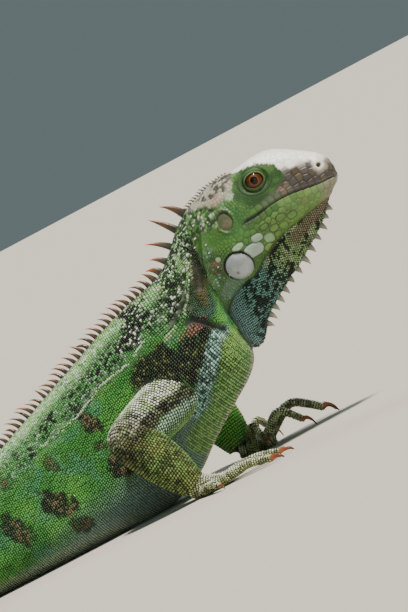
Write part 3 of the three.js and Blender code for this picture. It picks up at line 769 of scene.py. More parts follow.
# ---------------------------------------------------------------- markings
def blot(p, x, z, wide, high, tilt=0.0, ragged=0.5):
    """1 inside a ragged ellipse of the side view, 0 outside. tilt turns it, in degrees."""
    c, s = math.cos(math.radians(tilt)), math.sin(math.radians(tilt))
    dx, dz = p[:, 0] - x, p[:, 2] - z
    q = np.hypot((dx * c + dz * s) / wide, (dz * c - dx * s) / high)
    q = q + ragged * 1.6 * (rough_noise(p, 0.5 * min(wide, high) + 0.8, 7) - 0.5)
    return 1 - smooth(q, 0.8, 1.1)


def speckle(p, size, seed, share):
    """Hard-edged specks that cover a share of the surface."""
    edge = 0.5 + 0.34 * (0.5 - share)
    return smooth(rough_noise(p, size, seed), edge - 0.03, edge + 0.03)


# Blotches of the flank: x, z, half width, half height, tilt and strength.
FLANK_BLOTCHES = (
    (37.5, 55.5, 3.6, 8.5, 25, 1.0), (42, 31, 7.5, 6, -30, 1.0), (50, 38.5, 5, 4, 0, 0.8),
    (37, 43, 2.6, 3, 30, 0.7), (7, 27, 6, 10, 40, 1.0), (12.5, 14, 6, 4.5, 0, 0.8),
    (12, 46, 3, 5, 20, 0.7), (-17, 26, 5, 10, 20, 0.9), (-13, 47, 2.6, 4.5, 20, 0.6),
    (-38, 28, 5.5, 11, 15, 0.85), (-60, 24, 5.5, 11, 14, 0.8), (-82, 22, 5.5, 10, 10, 0.7),
    (62, 30, 4, 4, 0, 0.5),
)


def flank_blotches(p):
    """Layers for trunk_paint: dark blotches with brown cores."""
    for x, z, wide, high, tilt, strength in FLANK_BLOTCHES:
        core = blot(p, x, z, wide * 0.74, high * 0.74, tilt, 0.9) * strength
        yield "#12130D", blot(p, x, z, wide, high, tilt, 0.9) * strength * 0.92
        yield "#6E6448", core * (1 - speckle(p, 1.3, 24, 0.5)) * 0.9


def trunk_paint(p, drop, row):
    """Colours of neck and trunk scales, and of the skin between them.

    drop is the distance from the crest, and row is the number of the scale's ring.
    """
    count = len(p)
    fine = rough_noise(p, 1.3, 5)
    cloud = rough_noise(p, 14, 6)
    patch = rough_noise(p, 5.0, 8)
    x, side, z = p[:, 0], np.abs(p[:, 1]), p[:, 2]
    checks = smooth(drop, 10, 16) * (1 - smooth(drop, 24, 33)) * smooth(x, -40, 10)
    stripe = bell(drop, 8.5 + 5 * (cloud - 0.5), 4.6)
    tan = 1 - smooth(drop, 1.6, 4.4)
    throat = smooth(x + 0.35 * (z - 90), 113, 119) * smooth(drop, 24, 34)
    throat = np.maximum(throat, blot(p, 110.5, 79.5, 8, 9.5, -20, 0.3) * smooth(drop, 20, 26))
    neck = smooth(x, 84, 100) * (1 - smooth(drop, 26, 40) * (1 - smooth(z, 84, 92))) * (1 - throat)
    groups = smooth(rough_noise(p, 6.5, 23), 0.38, 0.52)
    shoulder = np.maximum(blot(p, 79, 87, 9, 8, 40, 0.9), blot(p, 72, 80, 7, 5, 30, 0.9))
    armpit = np.maximum(blot(p, 74, 64, 10.5, 8.0, 10, 0.7), blot(p, 84, 68, 6, 5, 0, 0.7))
    front = np.maximum(blot(p, 101, 58, 14, 13, 40, 0.5), blot(p, 87, 59, 10, 8.5, 0, 0.6))
    front = front * smooth(drop, 26, 32)
    away, _ = along_line(x, z, ((113, 63), (108.5, 61), (101, 51.5), (95, 45.5), (85, 36)))
    band = 1 - smooth(away + 3.0 * (patch - 0.5), 2.2, 4.6)
    away, _ = along_line(x, z, ((117, 56), (108, 43), (97, 31), (80, 22)))
    breast = 1 - smooth(away, 5.0, 8.5)
    keel = smooth(x, 50, 70) * (1 - smooth(side, 2.6, 5.5)) * (1 - smooth(z, 48, 56))
    rows_dark = (row % 2 == 0) * (1 - smooth(fine, 0.45, 0.65))
    mottle = blot(p, 103, 71.5, 8, 2.4, 12)
    belly = smooth(-z, -9, -3)
    fold = fold_height(p)
    colour = layered(
        paint("#72B862", count),
        # green, patchy, greyer to the belly
        ("#3B8233", smooth(drop, 16, 34)),
        ("#5CA444", 0.7 * smooth(cloud, 0.45, 0.65)),
        ("#4C8878", 0.4 * smooth(rough_noise(p, 10, 11), 0.54, 0.7)),
        ("#2C6830", 0.5 * smooth(patch, 0.54, 0.68) * smooth(drop, 20, 30)),
        ("#7C948E", 0.85 * smooth(drop + 8 * (cloud - 0.5), 58, 78)),
        # black and pale checks on the back's side
        ("#42784A", 0.6 * checks),
        ("#10180F", checks * speckle(p, 1.0, 9, 0.5) * smooth(patch, 0.36, 0.52)),
        ("#BCD0C0", checks * speckle(p, 0.8, 10, 0.12) * 0.6),
        # a pale stripe under the crest: pale skin brightened as painted sunlight, with white specks of
        # painted glint and a few dark specks
        ("#A8E698", stripe * 0.95),
        ("#F4FAF0", stripe * speckle(p, 1.0, 12, 0.34) * (0.85 - 0.6 * smooth(x, 66, 90))),
        ("#2C5A30", stripe * speckle(p, 1.1, 14, 0.14) * 0.8),
        # brown at the crest's feet
        ("#B8A680", tan * 0.85),
        ("#2E2418", tan * np.maximum(speckle(p, 1.3, 15, 0.5), smooth(x, 88, 100)) * 0.9),
        # the neck, green with black groups of scales
        ("#42733A", neck * (1 - stripe) * 0.8),
        ("#9CD088", neck * smooth(rough_noise(p, 4.5, 17), 0.52, 0.62) * 0.75),
        ("#161B12", neck * speckle(p, 1.2, 18, 0.55) * groups * 0.94),
        ("#141A12", neck * speckle(p, 0.9, 19, 0.22) * 0.85),
        ("#E4EDE0", neck * speckle(p, 0.9, 21, 0.07) * 0.85),
        # the throat's side: dark green as painted shade under the jaw and the throat flap, turquoise low
        # down, with dark specks
        ("#203A1E", throat * 0.9),
        ("#3E6E62", throat * smooth(-z, -82, -72) * 0.6),
        ("#1A2A18", throat * speckle(p, 1.2, 22, 0.25) * 0.7),
        ("#5C4C28", 0.6 * blot(p, 114.5, 90, 3.2, 12, -12)),
        # the flank's blotches
        *flank_blotches(p),
        # black and white specks on the shoulder
        ("#161A14", shoulder * speckle(p, 1.2, 27, 0.72)),
        ("#E4E8E0", shoulder * speckle(p, 0.9, 30, 0.1)),
        # the armpit and the front of the shoulder: black scales, darkened further as painted shade between
        # leg and body
        ("#10120B", armpit * 0.94),
        ("#66743A", armpit * speckle(p, 0.8, 33, 0.13) * 0.9),
        ("#191F13", front * 0.9),
        ("#66743F", front * speckle(p, 0.9, 35, 0.2) * 0.8),
        ("#0F120C", front * speckle(p, 2.0, 36, 0.45)),
        # a turquoise band over the breast, with green below it
        ("#9ED4C6", band * 0.92),
        ("#D4EAE6", band * speckle(p, 1.3, 39, 0.2) * 0.7),
        ("#14201C", band * speckle(p, 1.2, 38, 0.3) * 0.85),
        ("#8CC063", breast * (1 - band) * 0.8),
        # the keel, dark rows, a pink spot and the belly
        ("#B4BA9A", keel * 0.9),
        ("#10130C", np.maximum(band, np.maximum(breast, front)) * rows_dark * 0.5),
        ("#85594F", mottle * speckle(p, 1.2, 40, 0.78) * 0.85),
        ("#8E9A80", belly * 0.8),
        # pale skin along the folds, brightened as a painted highlight on their ridges, and painted shade in
        # the hollows
        ("#C6E2BC", smooth(fold, 0.72, 1.05) * 0.85 * smooth(patch, 0.3, 0.5) * (x < 86)),
        ("#C4D6B0", smooth(fold, 1.15, 1.6) * 0.6 * smooth(patch, 0.36, 0.56) * (x >= 86)),
        ("#141C10", smooth(-fold, 0.3, 1.2) * 0.75),
    )
    colour = colour * (1.0 + 0.35 * (fine - 0.5))[:, None] * rng.uniform(0.9, 1.1, (count, 1))
    seam = colour * (0.36 - 0.2 * np.maximum(np.maximum(front, band), breast))[:, None]
    return colour, seam


def tail_paint(p, drop, along):
    """Tail: green above fading to grey-olive, with broad dark bands that grow stronger to the tip."""
    count = len(p)
    fine = rough_noise(p, 2.2, 45)
    bands = 0.5 + 0.5 * np.sin((along + 6 * (fine - 0.5)) * 2 * math.pi / 33)
    colour = layered(
        paint("#3E8636", count),
        ("#7F9A58", smooth(along, 60, 300)),
        ("#8FC48A", 0.6 * (1 - smooth(drop, 8, 16)) * (1 - smooth(along, 40, 160))),
        ("#8E8A5E", 0.7 * smooth(along, 260, 560)),
        ("#1F2016", smooth(bands, 0.45, 0.75) * (0.55 + 0.4 * smooth(along, 30, 240))),
        ("#9C8B6A", (1 - smooth(drop, 2.0, 4.0)) * 0.7 * (1 - smooth(along, 250, 420))),
    )
    colour = colour * (0.78 + 0.44 * fine)[:, None]
    return colour, colour * 0.25


# The dark band of the upper arm: points of x and z.
UPPER_ARM_BAND = ((92, 49), (85, 46.5), (71.8, 45.3), (60.2, 39.3), (50, 34))


def arm_paint(p, normal, kind, part, bend):
    """A leg: paler on top as painted sunlight, with painted white highlights on the upper part's scales and
    painted glints on the lower part's top, a dark band along its side, grey-green below, brown at the bend,
    olive beyond.
    """
    count = len(p)
    fine = rough_noise(p, 1.6, 51)
    cloud = rough_noise(p, 6, 54)
    up = normal[:, 2]
    if part == "upper":
        colour = layered(
            paint("#86AE70", count),
            # painted sunlight on the top, and painted white highlights on its upward scales
            ("#B8D09C", smooth(up, 0.05, 0.45)),
            ("#FBFCF6", 0.95 * smooth(up, 0.0, 0.4) * smooth(fine, 0.37, 0.5)),
            ("#78A848", 0.6 * speckle(p, 1.5, 58, 0.25)),
            ("#A4C4B4", smooth(-up, -0.1, 0.2) * 0.85),
        )
        away, _ = along_line(p[:, 0], p[:, 2], UPPER_ARM_BAND)
        band = 1 - smooth(away + 3.5 * (cloud - 0.5), 2.2, 4.6)
        if kind == "foot":  # on a thigh the band runs where its surface stands upright
            band = bell(up, 0.12 + 0.35 * (cloud - 0.5), 0.2)
        colour = layered(
            colour,
            ("#332C20", band * 0.8),
            ("#14110B", band * speckle(p, 1.8, 57, 0.5) * 0.9),
            ("#86AE5C", 0.9 * smooth(-up, 0.42, 0.75)),
        )
    elif part == "lower":
        colour = layered(
            paint("#6A8C44", count),
            ("#4C6230", smooth(cloud, 0.42, 0.6)),
            ("#7E7A44", 0.6 * smooth(rough_noise(p, 8, 62), 0.46, 0.6)),
            ("#8EA85A", 0.7 * speckle(p, 1.2, 59, 0.3)),
            # pale specks on the top: painted glints
            ("#C4CEB0", 0.6 * smooth(up, 0.3, 0.8) * speckle(p, 1.5, 61, 0.35)),
            ("#1B190F", 0.7 * speckle(p, 1.4, 60, 0.24)),
        )
    else:
        colour = layered(
            paint("#B2BE8C", count),
            ("#848C58", smooth(cloud, 0.4, 0.65)),
            # paler on the top: painted sunlight
            ("#E6ECD6", smooth(up, 0.3, 0.8) * 0.75),
            ("#2E281A", 0.6 * speckle(p, 2.8, 63, 0.35)),
        )
    if part in ("upper", "lower"):
        elbow = 1 - smooth(np.linalg.norm(p - bend, axis=1) - 5 * (cloud - 0.5), 11.0, 15.5)
        colour = mixed(colour, "#4C4832", elbow * 0.55)
        colour = mixed(colour, "#17130C", elbow * speckle(p, 1.8, 66, 0.4) * 0.75)
    colour = colour * (0.85 + 0.3 * fine)[:, None] * rng.uniform(0.8, 1.15, (count, 1))
    return colour, np.tile(linear("#14170D"), (count, 1)) * 0.8


def inner_green(p, normal, colour, seam, part):
    """The side of a foreleg that faces the body is smooth green down to the wrist."""
    if part in ("palm", "digit"):
        return colour, seam
    inward = -np.sign(p[:, 1]) * normal[:, 1]
    amount = 0.9 * smooth(inward, -0.15, 0.35) * smooth(p[:, 0], 0, 20)
    amount = amount * (0.35 + 0.65 * smooth(p[:, 2], 7, 17))
    return mixed(colour, "#6CBE4E", amount), mixed(seam, "#2E6A26", amount)


def dewlap_paint(p):
    """Throat flap: dark speckled green ahead, turquoise with dark dashes below, smooth grey-blue behind."""
    count = len(p)
    x, z = p[:, 0], p[:, 2]
    fine = rough_noise(p, 1.2, 71)
    along, across = 0.62 * x + 0.78 * z, 0.78 * x - 0.62 * z
    level = z + (165 - x) * 0.62  # height over the flap's lower edge, about 76 at the edge
    dashes_at = np.stack([along / 2.6, across, p[:, 1]], axis=1)
    dashes = smooth(x, 125, 131)
    away, _ = along_line(x, z, ((188, 97), (176, 91.5), (163, 86.5)))
    colour = layered(
        paint("#8CAA6E", count),
        ("#6A9C90", smooth(148 - x + 0.4 * (84 - z), -6, 8)),
        ("#86A9A8", smooth(-x, -131, -124) * smooth(-z, -82, -74) * 0.9),
        ("#0F1612", dashes * speckle(dashes_at, 1.0, 74, 0.5) * 0.94),
        ("#B4C89C", smooth(x, 140, 150) * speckle(dashes_at, 1.2, 77, 0.24) * 0.8),
        ("#141C14", (1 - smooth(level, 77, 83)) * speckle(p, 2.2, 79, 0.55) * 0.85),
        ("#8E7F6A", (1 - smooth(away, 1.6, 3.4)) * 0.85),
    )
    colour = colour * (0.88 + 0.24 * fine)[:, None] * rng.uniform(0.92, 1.08, (count, 1))
    return colour, colour * 0.3


# ---------------------------------------------------------------- skin
def closed_grid(surface, start, end, count, sides, lift=0.0):
    """A closed tube of a surface function, with count rings of points."""
    u = np.linspace(start, end, count)[:, None]
    angle = np.linspace(0, 2 * math.pi, sides, endpoint=False)[None, :]
    return closed_tube(surface(u, angle, lift))


HEAD_END = STATION["neck_front"] + 0.35  # where the head's plates end under the neck's scales


def eye_side(side):
    """The eye's centre and the way it looks."""
    return EYE * (1, side, 1), unit(np.array((0.10, side, 0.06)))


def skin_body(u, angle, _lift):
    """The body for the skin: deeper below the head's plates, and behind the eyes."""
    deep = -0.95 + (0.95 - COAT_DEPTH) * smooth(u, HEAD_END - 0.3, HEAD_END + 0.4)
    u, angle = np.broadcast_arrays(np.asarray(u, float), angle)
    row = through(BODY, u)
    point = body_surface(u, angle)
    centre = row[..., 3:6] + row[..., 7:8] * (row[..., 0:3] - row[..., 3:6])
    inward = unit(centre - point)
    deep = -np.broadcast_to(deep, u.shape)
    for side in SIDES.values():
        place, look = eye_side(side)
        deep = deep + 3.0 * near(point, place + look * EYE_RADIUS, 5.5)
    return point + inward * np.minimum(deep, 0.8 * np.linalg.norm(centre - point, axis=-1))[..., None]


def remeshed(points, faces, voxel, passes):
    """One smooth closed surface round all the closed grids together."""
    rough = bpy.data.objects.new("rough_skin", make_mesh("rough_skin", points, faces))
    bpy.context.scene.collection.objects.link(rough)
    remesh = rough.modifiers.new("one_surface", "REMESH")
    remesh.mode = "VOXEL"
    remesh.voxel_size = voxel * MM
    smoothing = rough.modifiers.new("even", "SMOOTH")
    smoothing.factor = 0.5
    smoothing.iterations = passes
    graph = bpy.context.evaluated_depsgraph_get()
    mesh = bpy.data.meshes.new_from_object(rough.evaluated_get(graph))
    bpy.data.objects.remove(rough)
    return mesh


def vertex_array(mesh):
    """A mesh's points, in mm."""
    flat = np.zeros(len(mesh.vertices) * 3, np.float32)
    mesh.vertices.foreach_get("co", flat)
    return flat.reshape(-1, 3).astype(float) / MM


FLOOR_CLEAR = 0.12  # everything stays this far over the floor


def skin_mesh():
    """One closed surface round body, throat flap and legs: the mesh and its points."""
    parts = [
        closed_grid(skin_body, 0, LAST, count=900, sides=96),
        closed_grid(dewlap_surface, 0, len(DEWLAP) - 1, count=90, sides=48, lift=-COAT_DEPTH),
    ]
    for limb in limbs.values():
        for tube in limb.tubes:
            last = len(tube[0]) - 1
            parts.append(closed_grid(tube_of(tube), 0, last, count=60, sides=40, lift=-COAT_DEPTH))
    points, faces = joined(parts)
    points[:, 2] = np.maximum(points[:, 2], FLOOR_CLEAR + 0.2)
    rough = remeshed(points, faces, voxel=1.25, passes=3)
    corners = np.zeros(len(rough.loops), np.int32)
    rough.loops.foreach_get("vertex_index", corners)
    # The tail's end is thinner than the surface's grid, so it is a grid of its own.
    tip = closed_grid(body_surface, LAST - 1.6, LAST, count=70, sides=14, lift=-0.1)
    places, faces = joined([(vertex_array(rough), [corners.reshape(-1, 4)]), tip])
    places[:, 2] = np.maximum(places[:, 2], FLOOR_CLEAR)
    return make_mesh("skin", places, faces), places


skin, skin_places = skin_mesh()
skin.calc_loop_triangles()
triangles = np.zeros(len(skin.loop_triangles) * 3, np.int32)
skin.loop_triangles.foreach_get("vertices", triangles)
triangles = triangles.reshape(-1, 3)
skin_tree = BVHTree.FromPolygons(skin_places.tolist(), triangles.tolist())
skin_normals = np.zeros(len(skin.vertices) * 3, np.float32)
skin.vertex_normals.foreach_get("vector", skin_normals)
skin_normals = skin_normals.reshape(-1, 3).astype(float)


def on_skin(points):
    """The nearest place on the skin to each point, the normal there and the height over it."""
    found = [skin_tree.find_nearest(p) for p in points.tolist()]
    place = np.array([f[0] for f in found])
    normal = unit(skin_normals[triangles[[f[2] for f in found]]].mean(axis=1))
    above = np.sum((points - place) * normal, axis=1)
    return place, normal, above


def beside(x, z, side):
    """The place on the skin's side that is seen at x, z in the side view, and its normal."""
    hit = skin_tree.ray_cast(Vector((x, side * 200.0, z)), Vector((0, -side, 0)))
    return on_skin(np.array([hit[0]]))


# ---------------------------------------------------------------- scales
class Scales:
    """Scales gathered for one piece: their frames, sizes, colours and places on the unwrapped skin."""

    def __init__(self):
        self.rows = []

    def add(self, point, back, normal, length, width, height, colour, seam, uv):
        """More scales, one row of numbers for each."""
        self.rows.append(np.hstack([
            point, back, normal, length[:, None], width[:, None], height[:, None], colour, seam, uv,
        ]))

    def table(self):
        """All rows."""
        return np.vstack(self.rows)


all_roots = []
# A scale's outline and its top and bottom points: along, across and up as shares of its size, and
# how much the scale's colour is darkened or lightened there: painted shade at the rim and root, painted
# highlight at the top and tip.
TILED = (
    (-0.5, 0.44, 0.05, 0.42), (0.46, 0.5, 0.16, 0.82), (0.46, -0.5, 0.16, 0.82), (-0.5, -0.44, 0.05, 0.42),
)
DOMED = (
    (-0.5, 0, 0.0, 0.25), (-0.2, 0.5, 0.05, 0.4), (0.34, 0.46, 0.3, 0.85), (0.66, 0, 0.55, 1.15),
    (0.34, -0.46, 0.3, 0.85), (-0.2, -0.5, 0.05, 0.4),
)
TOP = (0.2, 0, 1.0, 1.2)
BOTTOM = (0.0, 0, -0.9, 1.0)
PATCH = 0.0015  # half a scale's patch on the unwrapped skin


def scale_piece(name, scales, outline, material):
    """All scales of a piece: point + back * length * a + across * width * b + normal * height * c."""
    table = scales.table()
    shape = np.array([*outline, TOP, BOTTOM])
    count, sides, corners = len(table), len(outline), len(outline) + 2
    point, back, normal = table[:, 0:3], table[:, 3:6], table[:, 6:9]
    across = np.cross(normal, back)
    size = table[:, 9:12]
    places = (
        point[:, None]
        + back[:, None] * (size[:, 0:1] * shape[:, 0])[..., None]
        + across[:, None] * (size[:, 1:2] * shape[:, 1])[..., None]
        + normal[:, None] * (size[:, 2:3] * shape[:, 2])[..., None]
    )
    places[..., 2] = np.maximum(places[..., 2], FLOOR_CLEAR * 0.5)
    k = np.arange(sides)
    n = (k + 1) % sides
    under = np.stack([k, np.full(sides, sides + 1), n], axis=1)
    over = np.stack([k, n, np.full(sides, sides)], axis=1)
    pattern = np.vstack([under, over])
    corner = shape[pattern][..., :3]
    if np.einsum("ij,ij->", corner[:, 0], np.cross(corner[:, 1], corner[:, 2])) < 0:
        pattern = pattern[:, ::-1]  # so that every face looks out of the scale
    start = (np.arange(count) * corners)[:, None, None]
    faces = np.concatenate([
        (pattern[:sides] + start).reshape(-1, 3), (pattern[sides:] + start).reshape(-1, 3),
    ])
    # each corner takes the scale's colour times its tone: painted shade at rim and root, painted highlight
    # on top
    colours = np.clip(table[:, None, 12:15] * shape[None, :, 3:4], 0, 1).reshape(-1, 3)
    patch = np.clip(shape[:, :2], -0.5, 0.5) * 2 * PATCH
    uv = np.clip(table[:, None, 18:20], 0.003, 0.997) + patch[None]
    mesh = make_mesh(name, places.reshape(-1, 3), [faces])
    give_paint(mesh, colours)
    give_bake_map(mesh, uv.reshape(-1, 2))
    all_roots.append((table[:, 0:3], table[:, 15:18]))
    return add_piece(name, mesh, material)


def rooted(surface, start, end, along, around):
    """Roots of staggered scales on a surface: every ring of scales starts at the back."""
    at = stations(surface, start, end, along)
    angles, passed = arcs(surface, at, math.pi / 2)
    us, turns, drops, sides, rows = [], [], [], [], []
    for i, (u, arc, gap) in enumerate(zip(at, passed, at_each(around, at))):
        ring = arc[-1]
        count = max(4, int(round(ring / gap)))
        place = (np.arange(count) + 0.5 * (i % 2)) / count * ring
        turns.append(np.interp(place, arc, angles))
        us.append(np.full(count, u))
        drops.append(np.minimum(place, ring - place))
        sides.append(np.where(place < ring / 2, RIGHT, LEFT))
        rows.append(np.full(count, i))
    u, turn, drop, side, row = (np.concatenate(v) for v in (us, turns, drops, sides, rows))
    shift = rng.normal(0, 0.02, (2, len(u)))
    point, back, normal = frames(surface, np.clip(u + shift[0] * 0.1, start, end), turn + shift[1] * 0.2)
    return point, back, normal, u, turn, drop, side, row


def settle(point, normal):
    """Roots moved to the skin where it fills a corner between two parts, and which of them to keep."""
    place, skin_normal, above = on_skin(point)
    away = np.linalg.norm(point - place, axis=1)
    follow = smooth(away, 0.55, 1.0)[:, None]
    moved = (point - normal * 0.22) * (1 - follow) + place * follow
    turned = unit(normal * (1 - follow) + skin_normal * follow)
    keep = (above > -0.75) & (away < 2.2) & (place[:, 2] > 0.05)
    return moved, turned, keep


def unit_back(back, normal):
    """The direction back, laid flat on the surface with this normal."""
    return unit(back - normal * np.sum(back * normal, axis=1, keepdims=True))


coat = {}


def lay_scales(surface, start, end, sizes, painter, spread, overlap=0.98, fill=1.04, ruffle=0.08):
    """Scales over a surface, put into the coat's pieces.

    sizes are the distance along and round the surface and the height, each a number or a function of u.
    spread says which piece a scale belongs to and where it lies on that piece's unwrapped skin.
    overlap and fill stretch the scales over their neighbours, and ruffle tilts them.
    """
    along, around, height = sizes
    point, back, normal, u, turn, drop, side, row = rooted(surface, start, end, along, around)
    moved, normal, keep = settle(point, normal)
    normal = unit(normal + rng.normal(0, ruffle, normal.shape))
    back = unit_back(back, normal)
    long_ = at_each(along, u) * overlap
    wide = at_each(around, u) * fill
    colour, seam = painter(moved, normal, drop, u, row)
    vary = rng.uniform(0.9, 1.1, len(u))
    high = at_each(height, u) * vary
    for key, chosen, uv in spread(u, turn, drop, side):
        pick = keep & chosen
        coat.setdefault(key, Scales()).add(
            moved[pick], back[pick], normal[pick], long_[pick] * vary[pick], wide[pick], high[pick],
            colour[pick], seam[pick], uv[pick],
        )


TRUNK_START = HEAD_END - 0.25
HALF_GIRTH = 105  # about the longest way from the crest to the belly's middle


def trunk_rows(u, growth, shoulder):
    """Distance between scales: fine on the neck, growing over the shoulder, even behind it."""
    grown = growth * smooth(u, STATION["neck_base"], STATION["chest"] + 0.5)
    return 1.02 + grown + shoulder * bell(u, STATION["breast"] + 0.3, 0.9)


def trunk_spread(u, turn, drop, side):
    """The trunk's scales, right and left apart, unwrapped from the crest down."""
    share = (u - TRUNK_START) / (VENT - TRUNK_START)
    for word, value in SIDES.items():
        yield f"trunk_scales_{word}", side == value, np.stack([share, drop / HALF_GIRTH], axis=1)


def whole(name, start, end):
    """All scales from start to end in one piece, unwrapped into a square that is cut along the back."""
    def spread(u, turn, drop, side):
        round_share = (turn - math.pi / 2) / (2 * math.pi)
        yield name, np.ones(len(u), bool), np.stack([(u - start) / (end - start), round_share], axis=1)

    return spread


lay_scales(
    body_surface, TRUNK_START, VENT,
    (lambda u: trunk_rows(u, 0.13, 0.5), lambda u: trunk_rows(u, 0.08, 0.4), 0.36),
    lambda p, n, drop, u, row: trunk_paint(p, drop, row), trunk_spread,
)


def tail_along(u):
    """Distance between the tail's rings of scales."""
    return 1.25 + 1.0 * smooth(u, VENT, VENT + 3) - 0.4 * smooth(u, LAST - 8, LAST)


def tail_around(u):
    """Distance between scales round the tail."""
    return 1.15 + 0.55 * smooth(u, VENT, VENT + 3) - 0.75 * smooth(u, LAST - 12, LAST)


lay_scales(
    body_surface, VENT, LAST - 0.02, (tail_along, tail_around, 0.45),
    lambda p, n, drop, u, row: tail_paint(p, drop, (u - VENT) / TAIL_STEPS * TAIL_LENGTH),
    whole("tail_scales", VENT, LAST), overlap=1.05,
)
lay_scales(
    dewlap_surface, 0.25, len(DEWLAP) - 1.02, (1.1, 1.1, 0.3),
    lambda p, n, drop, u, row: dewlap_paint(p), whole("throat_flap_scales", 0, len(DEWLAP) - 1),
)

# Scales of the legs: distance along, distance round and height, for each part.
LIMB_SCALES = {
    "upper": (1.7, 1.55, 0.55),
    "lower": (1.45, 1.35, 0.5),
    "palm": (1.3, 1.2, 0.4),
    "digit": (1.25, 1.15, 0.36),
}


def lay_limb(kind, limb):
    """Scales of one leg, unwrapped part by part into strips beside each other."""
    parts = ["upper", "lower", "palm"] + ["digit"] * len(limb.claws)
    for i, (part, tube) in enumerate(zip(parts, limb.tubes)):
        last = len(tube[0]) - 1

        def spread(u, turn, drop, side, i=i, last=last):
            strip = (turn - math.pi / 2) / (2 * math.pi)
            uv = np.stack([(i + 0.04 + 0.92 * u / last) / len(parts), strip], axis=1)
            yield f"{limb.name}_scales", np.ones(len(u), bool), uv

        def painter(p, n, drop, u, row, part=part):
            colour, seam = arm_paint(p, n, kind, part, limb.bend)
            return inner_green(p, n, colour, seam, part)

        lay_scales(
            tube_of(tube), 0.02, last - 0.02, LIMB_SCALES[part], painter, spread,
            overlap=1.06, fill=0.98, ruffle=0.12,
        )


for (kind, _), limb in limbs.items():
    lay_limb(kind, limb)

scale_keratin = scale_horn("keratin_scales", roughness=0.4, grain_mm=0.7, bump_mm=0.06, mottle=0.12)
for name, scales in coat.items():
    outline = TILED if name.startswith(("trunk", "tail", "throat")) else DOMED
    scale_piece(name, scales, outline, scale_keratin)


# ---------------------------------------------------------------- head plates
HEAD_RINGS = 244
HEAD_SIDES = 384  # half of them above the mouth line
CAP_RINGS = 5
MOUTH_CORNER = STATION["mouth_corner"] + 0.1


def head_grid():
    """Rings of the head with points evenly spaced over and under the mouth line, and a rounded snout."""
    u = stations(body_surface, 0, HEAD_END, 0.1)
    u = np.interp(np.linspace(0, len(u) - 1, HEAD_RINGS), np.arange(len(u)), u)
    u[0] = 0
    half = HEAD_SIDES // 2
    share = np.arange(half) / half
    turns = []
    for start in (0, math.pi):
        angle, passed = arcs(body_surface, u, start, math.pi)
        turns.append(np.stack([np.interp(share * arc[-1], arc, angle) for arc in passed]))
    turn = np.concatenate(turns, axis=1)
    point = body_surface(np.repeat(u[:, None], HEAD_SIDES, 1), turn)
    t = np.linspace(0, 1, CAP_RINGS + 1)[:-1][:, None, None]
    middle = point[0].mean(axis=0)
    bulge = np.array((0.4, 0, 0))
    cap = middle + (point[0] - middle) * np.sin(t * math.pi / 2) + bulge * np.cos(t * math.pi / 2)
    cap[0] = middle + (point[0] - middle) * 0.02 + bulge
    return np.concatenate([cap, point]), np.concatenate([np.zeros(CAP_RINGS), u])


def grid_normals(grid):
    """Outward normals of a grid closed round each ring."""
    along = np.gradient(grid, axis=0)
    across = np.roll(grid, -1, axis=1) - np.roll(grid, 1, axis=1)
    return unit(np.cross(across, along))


# Plates that stand out on the cheek: x, z on the side, half length, half height, tilt and colour.
NAMED_PLATES = (
    (145.2, 90.8, 4.9, 3.3, 0, "#B3C3BC"), (139.2, 95.6, 3.4, 1.7, 8, "#A6BDA0"),
    (149.2, 95.3, 3.0, 2.0, -4, "#A9C0AE"), (154.0, 92.3, 2.5, 2.6, 0, "#8FB488"),
    (151.5, 88.3, 2.4, 1.8, 20, "#7FA558"), (158.3, 95.5, 2.3, 1.7, 10, None),
    (158.4, 91.2, 2.0, 2.2, 0, None), (154.5, 98.2, 2.4, 1.4, 6, None), (162.6, 94.4, 2.2, 1.9, 12, None),
    (163.4, 98.6, 2.6, 1.6, 6, None), (168.5, 97.0, 2.5, 1.8, 10, None),
    (127.6, 94.6, 1.6, 1.4, 0, "#9FB08E"),
)


def plate_spacing(p):
    """Distance between plates: small round the eye and on the throat, large on the snout."""
    x, side, z = p[:, 0], np.abs(p[:, 1]), p[:, 2]
    size = np.full(len(p), 2.2)
    for target, amount in (
        (4.0, smooth(x, 170, 176) * smooth(z, 112, 117)),
        (3.4, smooth(x, 170, 175) * smooth(z, 103, 106) * (1 - smooth(z, 114, 118))),
        (2.8, smooth(z, 124, 127) * smooth(x, 148, 154) * (1 - smooth(x, 168, 172))),
        (1.6, (1 - smooth(x, 146, 152)) * smooth(z, 112, 117)),
        (1.5, (1 - smooth(x, 152, 157)) * smooth(z, 100, 103) * (1 - smooth(z, 116, 119))),
        (2.9, (1 - smooth(z, 102, 104)) * smooth(side, 8, 11) * smooth(x, 139, 143)),
        (1.5, (1 - smooth(x, 136, 140)) * (1 - smooth(z, 98, 102))),
        (1.25, 1 - smooth(x, 128, 134)),
        (1.45, (1 - smooth(side, 5, 9)) * (1 - smooth(z, 98, 102))),
        (1.4, 1 - smooth(z, 84, 87)),
        (1.05, eye_region(p)),
    ):
        size = size + (target - size) * np.clip(amount, 0, 1)
    return size


def eye_region(p):
    """1 on the finely scaled skin round the eye, under the crown's edge, 0 elsewhere."""
    x, z = p[:, 0], p[:, 2]
    q = np.hypot((x - 161.0) / 13.8, (z - 118.0) / 9.6)
    return (1 - smooth(q, 0.92, 1.06)) * (1 - smooth(z - crown_edge(x), -0.4, 0.6)) * (np.abs(p[:, 1]) > 6)


def crown_edge(x):
    """Height of the line where the side's green ends under the pale crown and snout."""
    return np.interp(x, CROWN_LINE[0], CROWN_LINE[1])


def mouth_height(x):
    """Height of the mouth line over x."""
    return np.interp(x, MOUTH_LINE[0], MOUTH_LINE[1])


CROWN_LINE = (
    (131, 140, 147, 150, 158, 165, 170, 172.5, 174.5, 175.5),
    (122, 123, 125.5, 127.6, 127.4, 126.6, 124.0, 122.0, 115.0, 103.0),
)
MOUTH_LINE = (
    (147, 154.5, 162.5, 172, 180, 188, 192, 195),
    (104.3, 105.3, 106.3, 106.0, 104.9, 104.5, 104.0, 103.2),
)


def tree_of(points):
    """A search tree over points."""
    tree = KDTree(len(points))
    for i, point in enumerate(points.tolist()):
        tree.insert(point, i)
    tree.balance()
    return tree


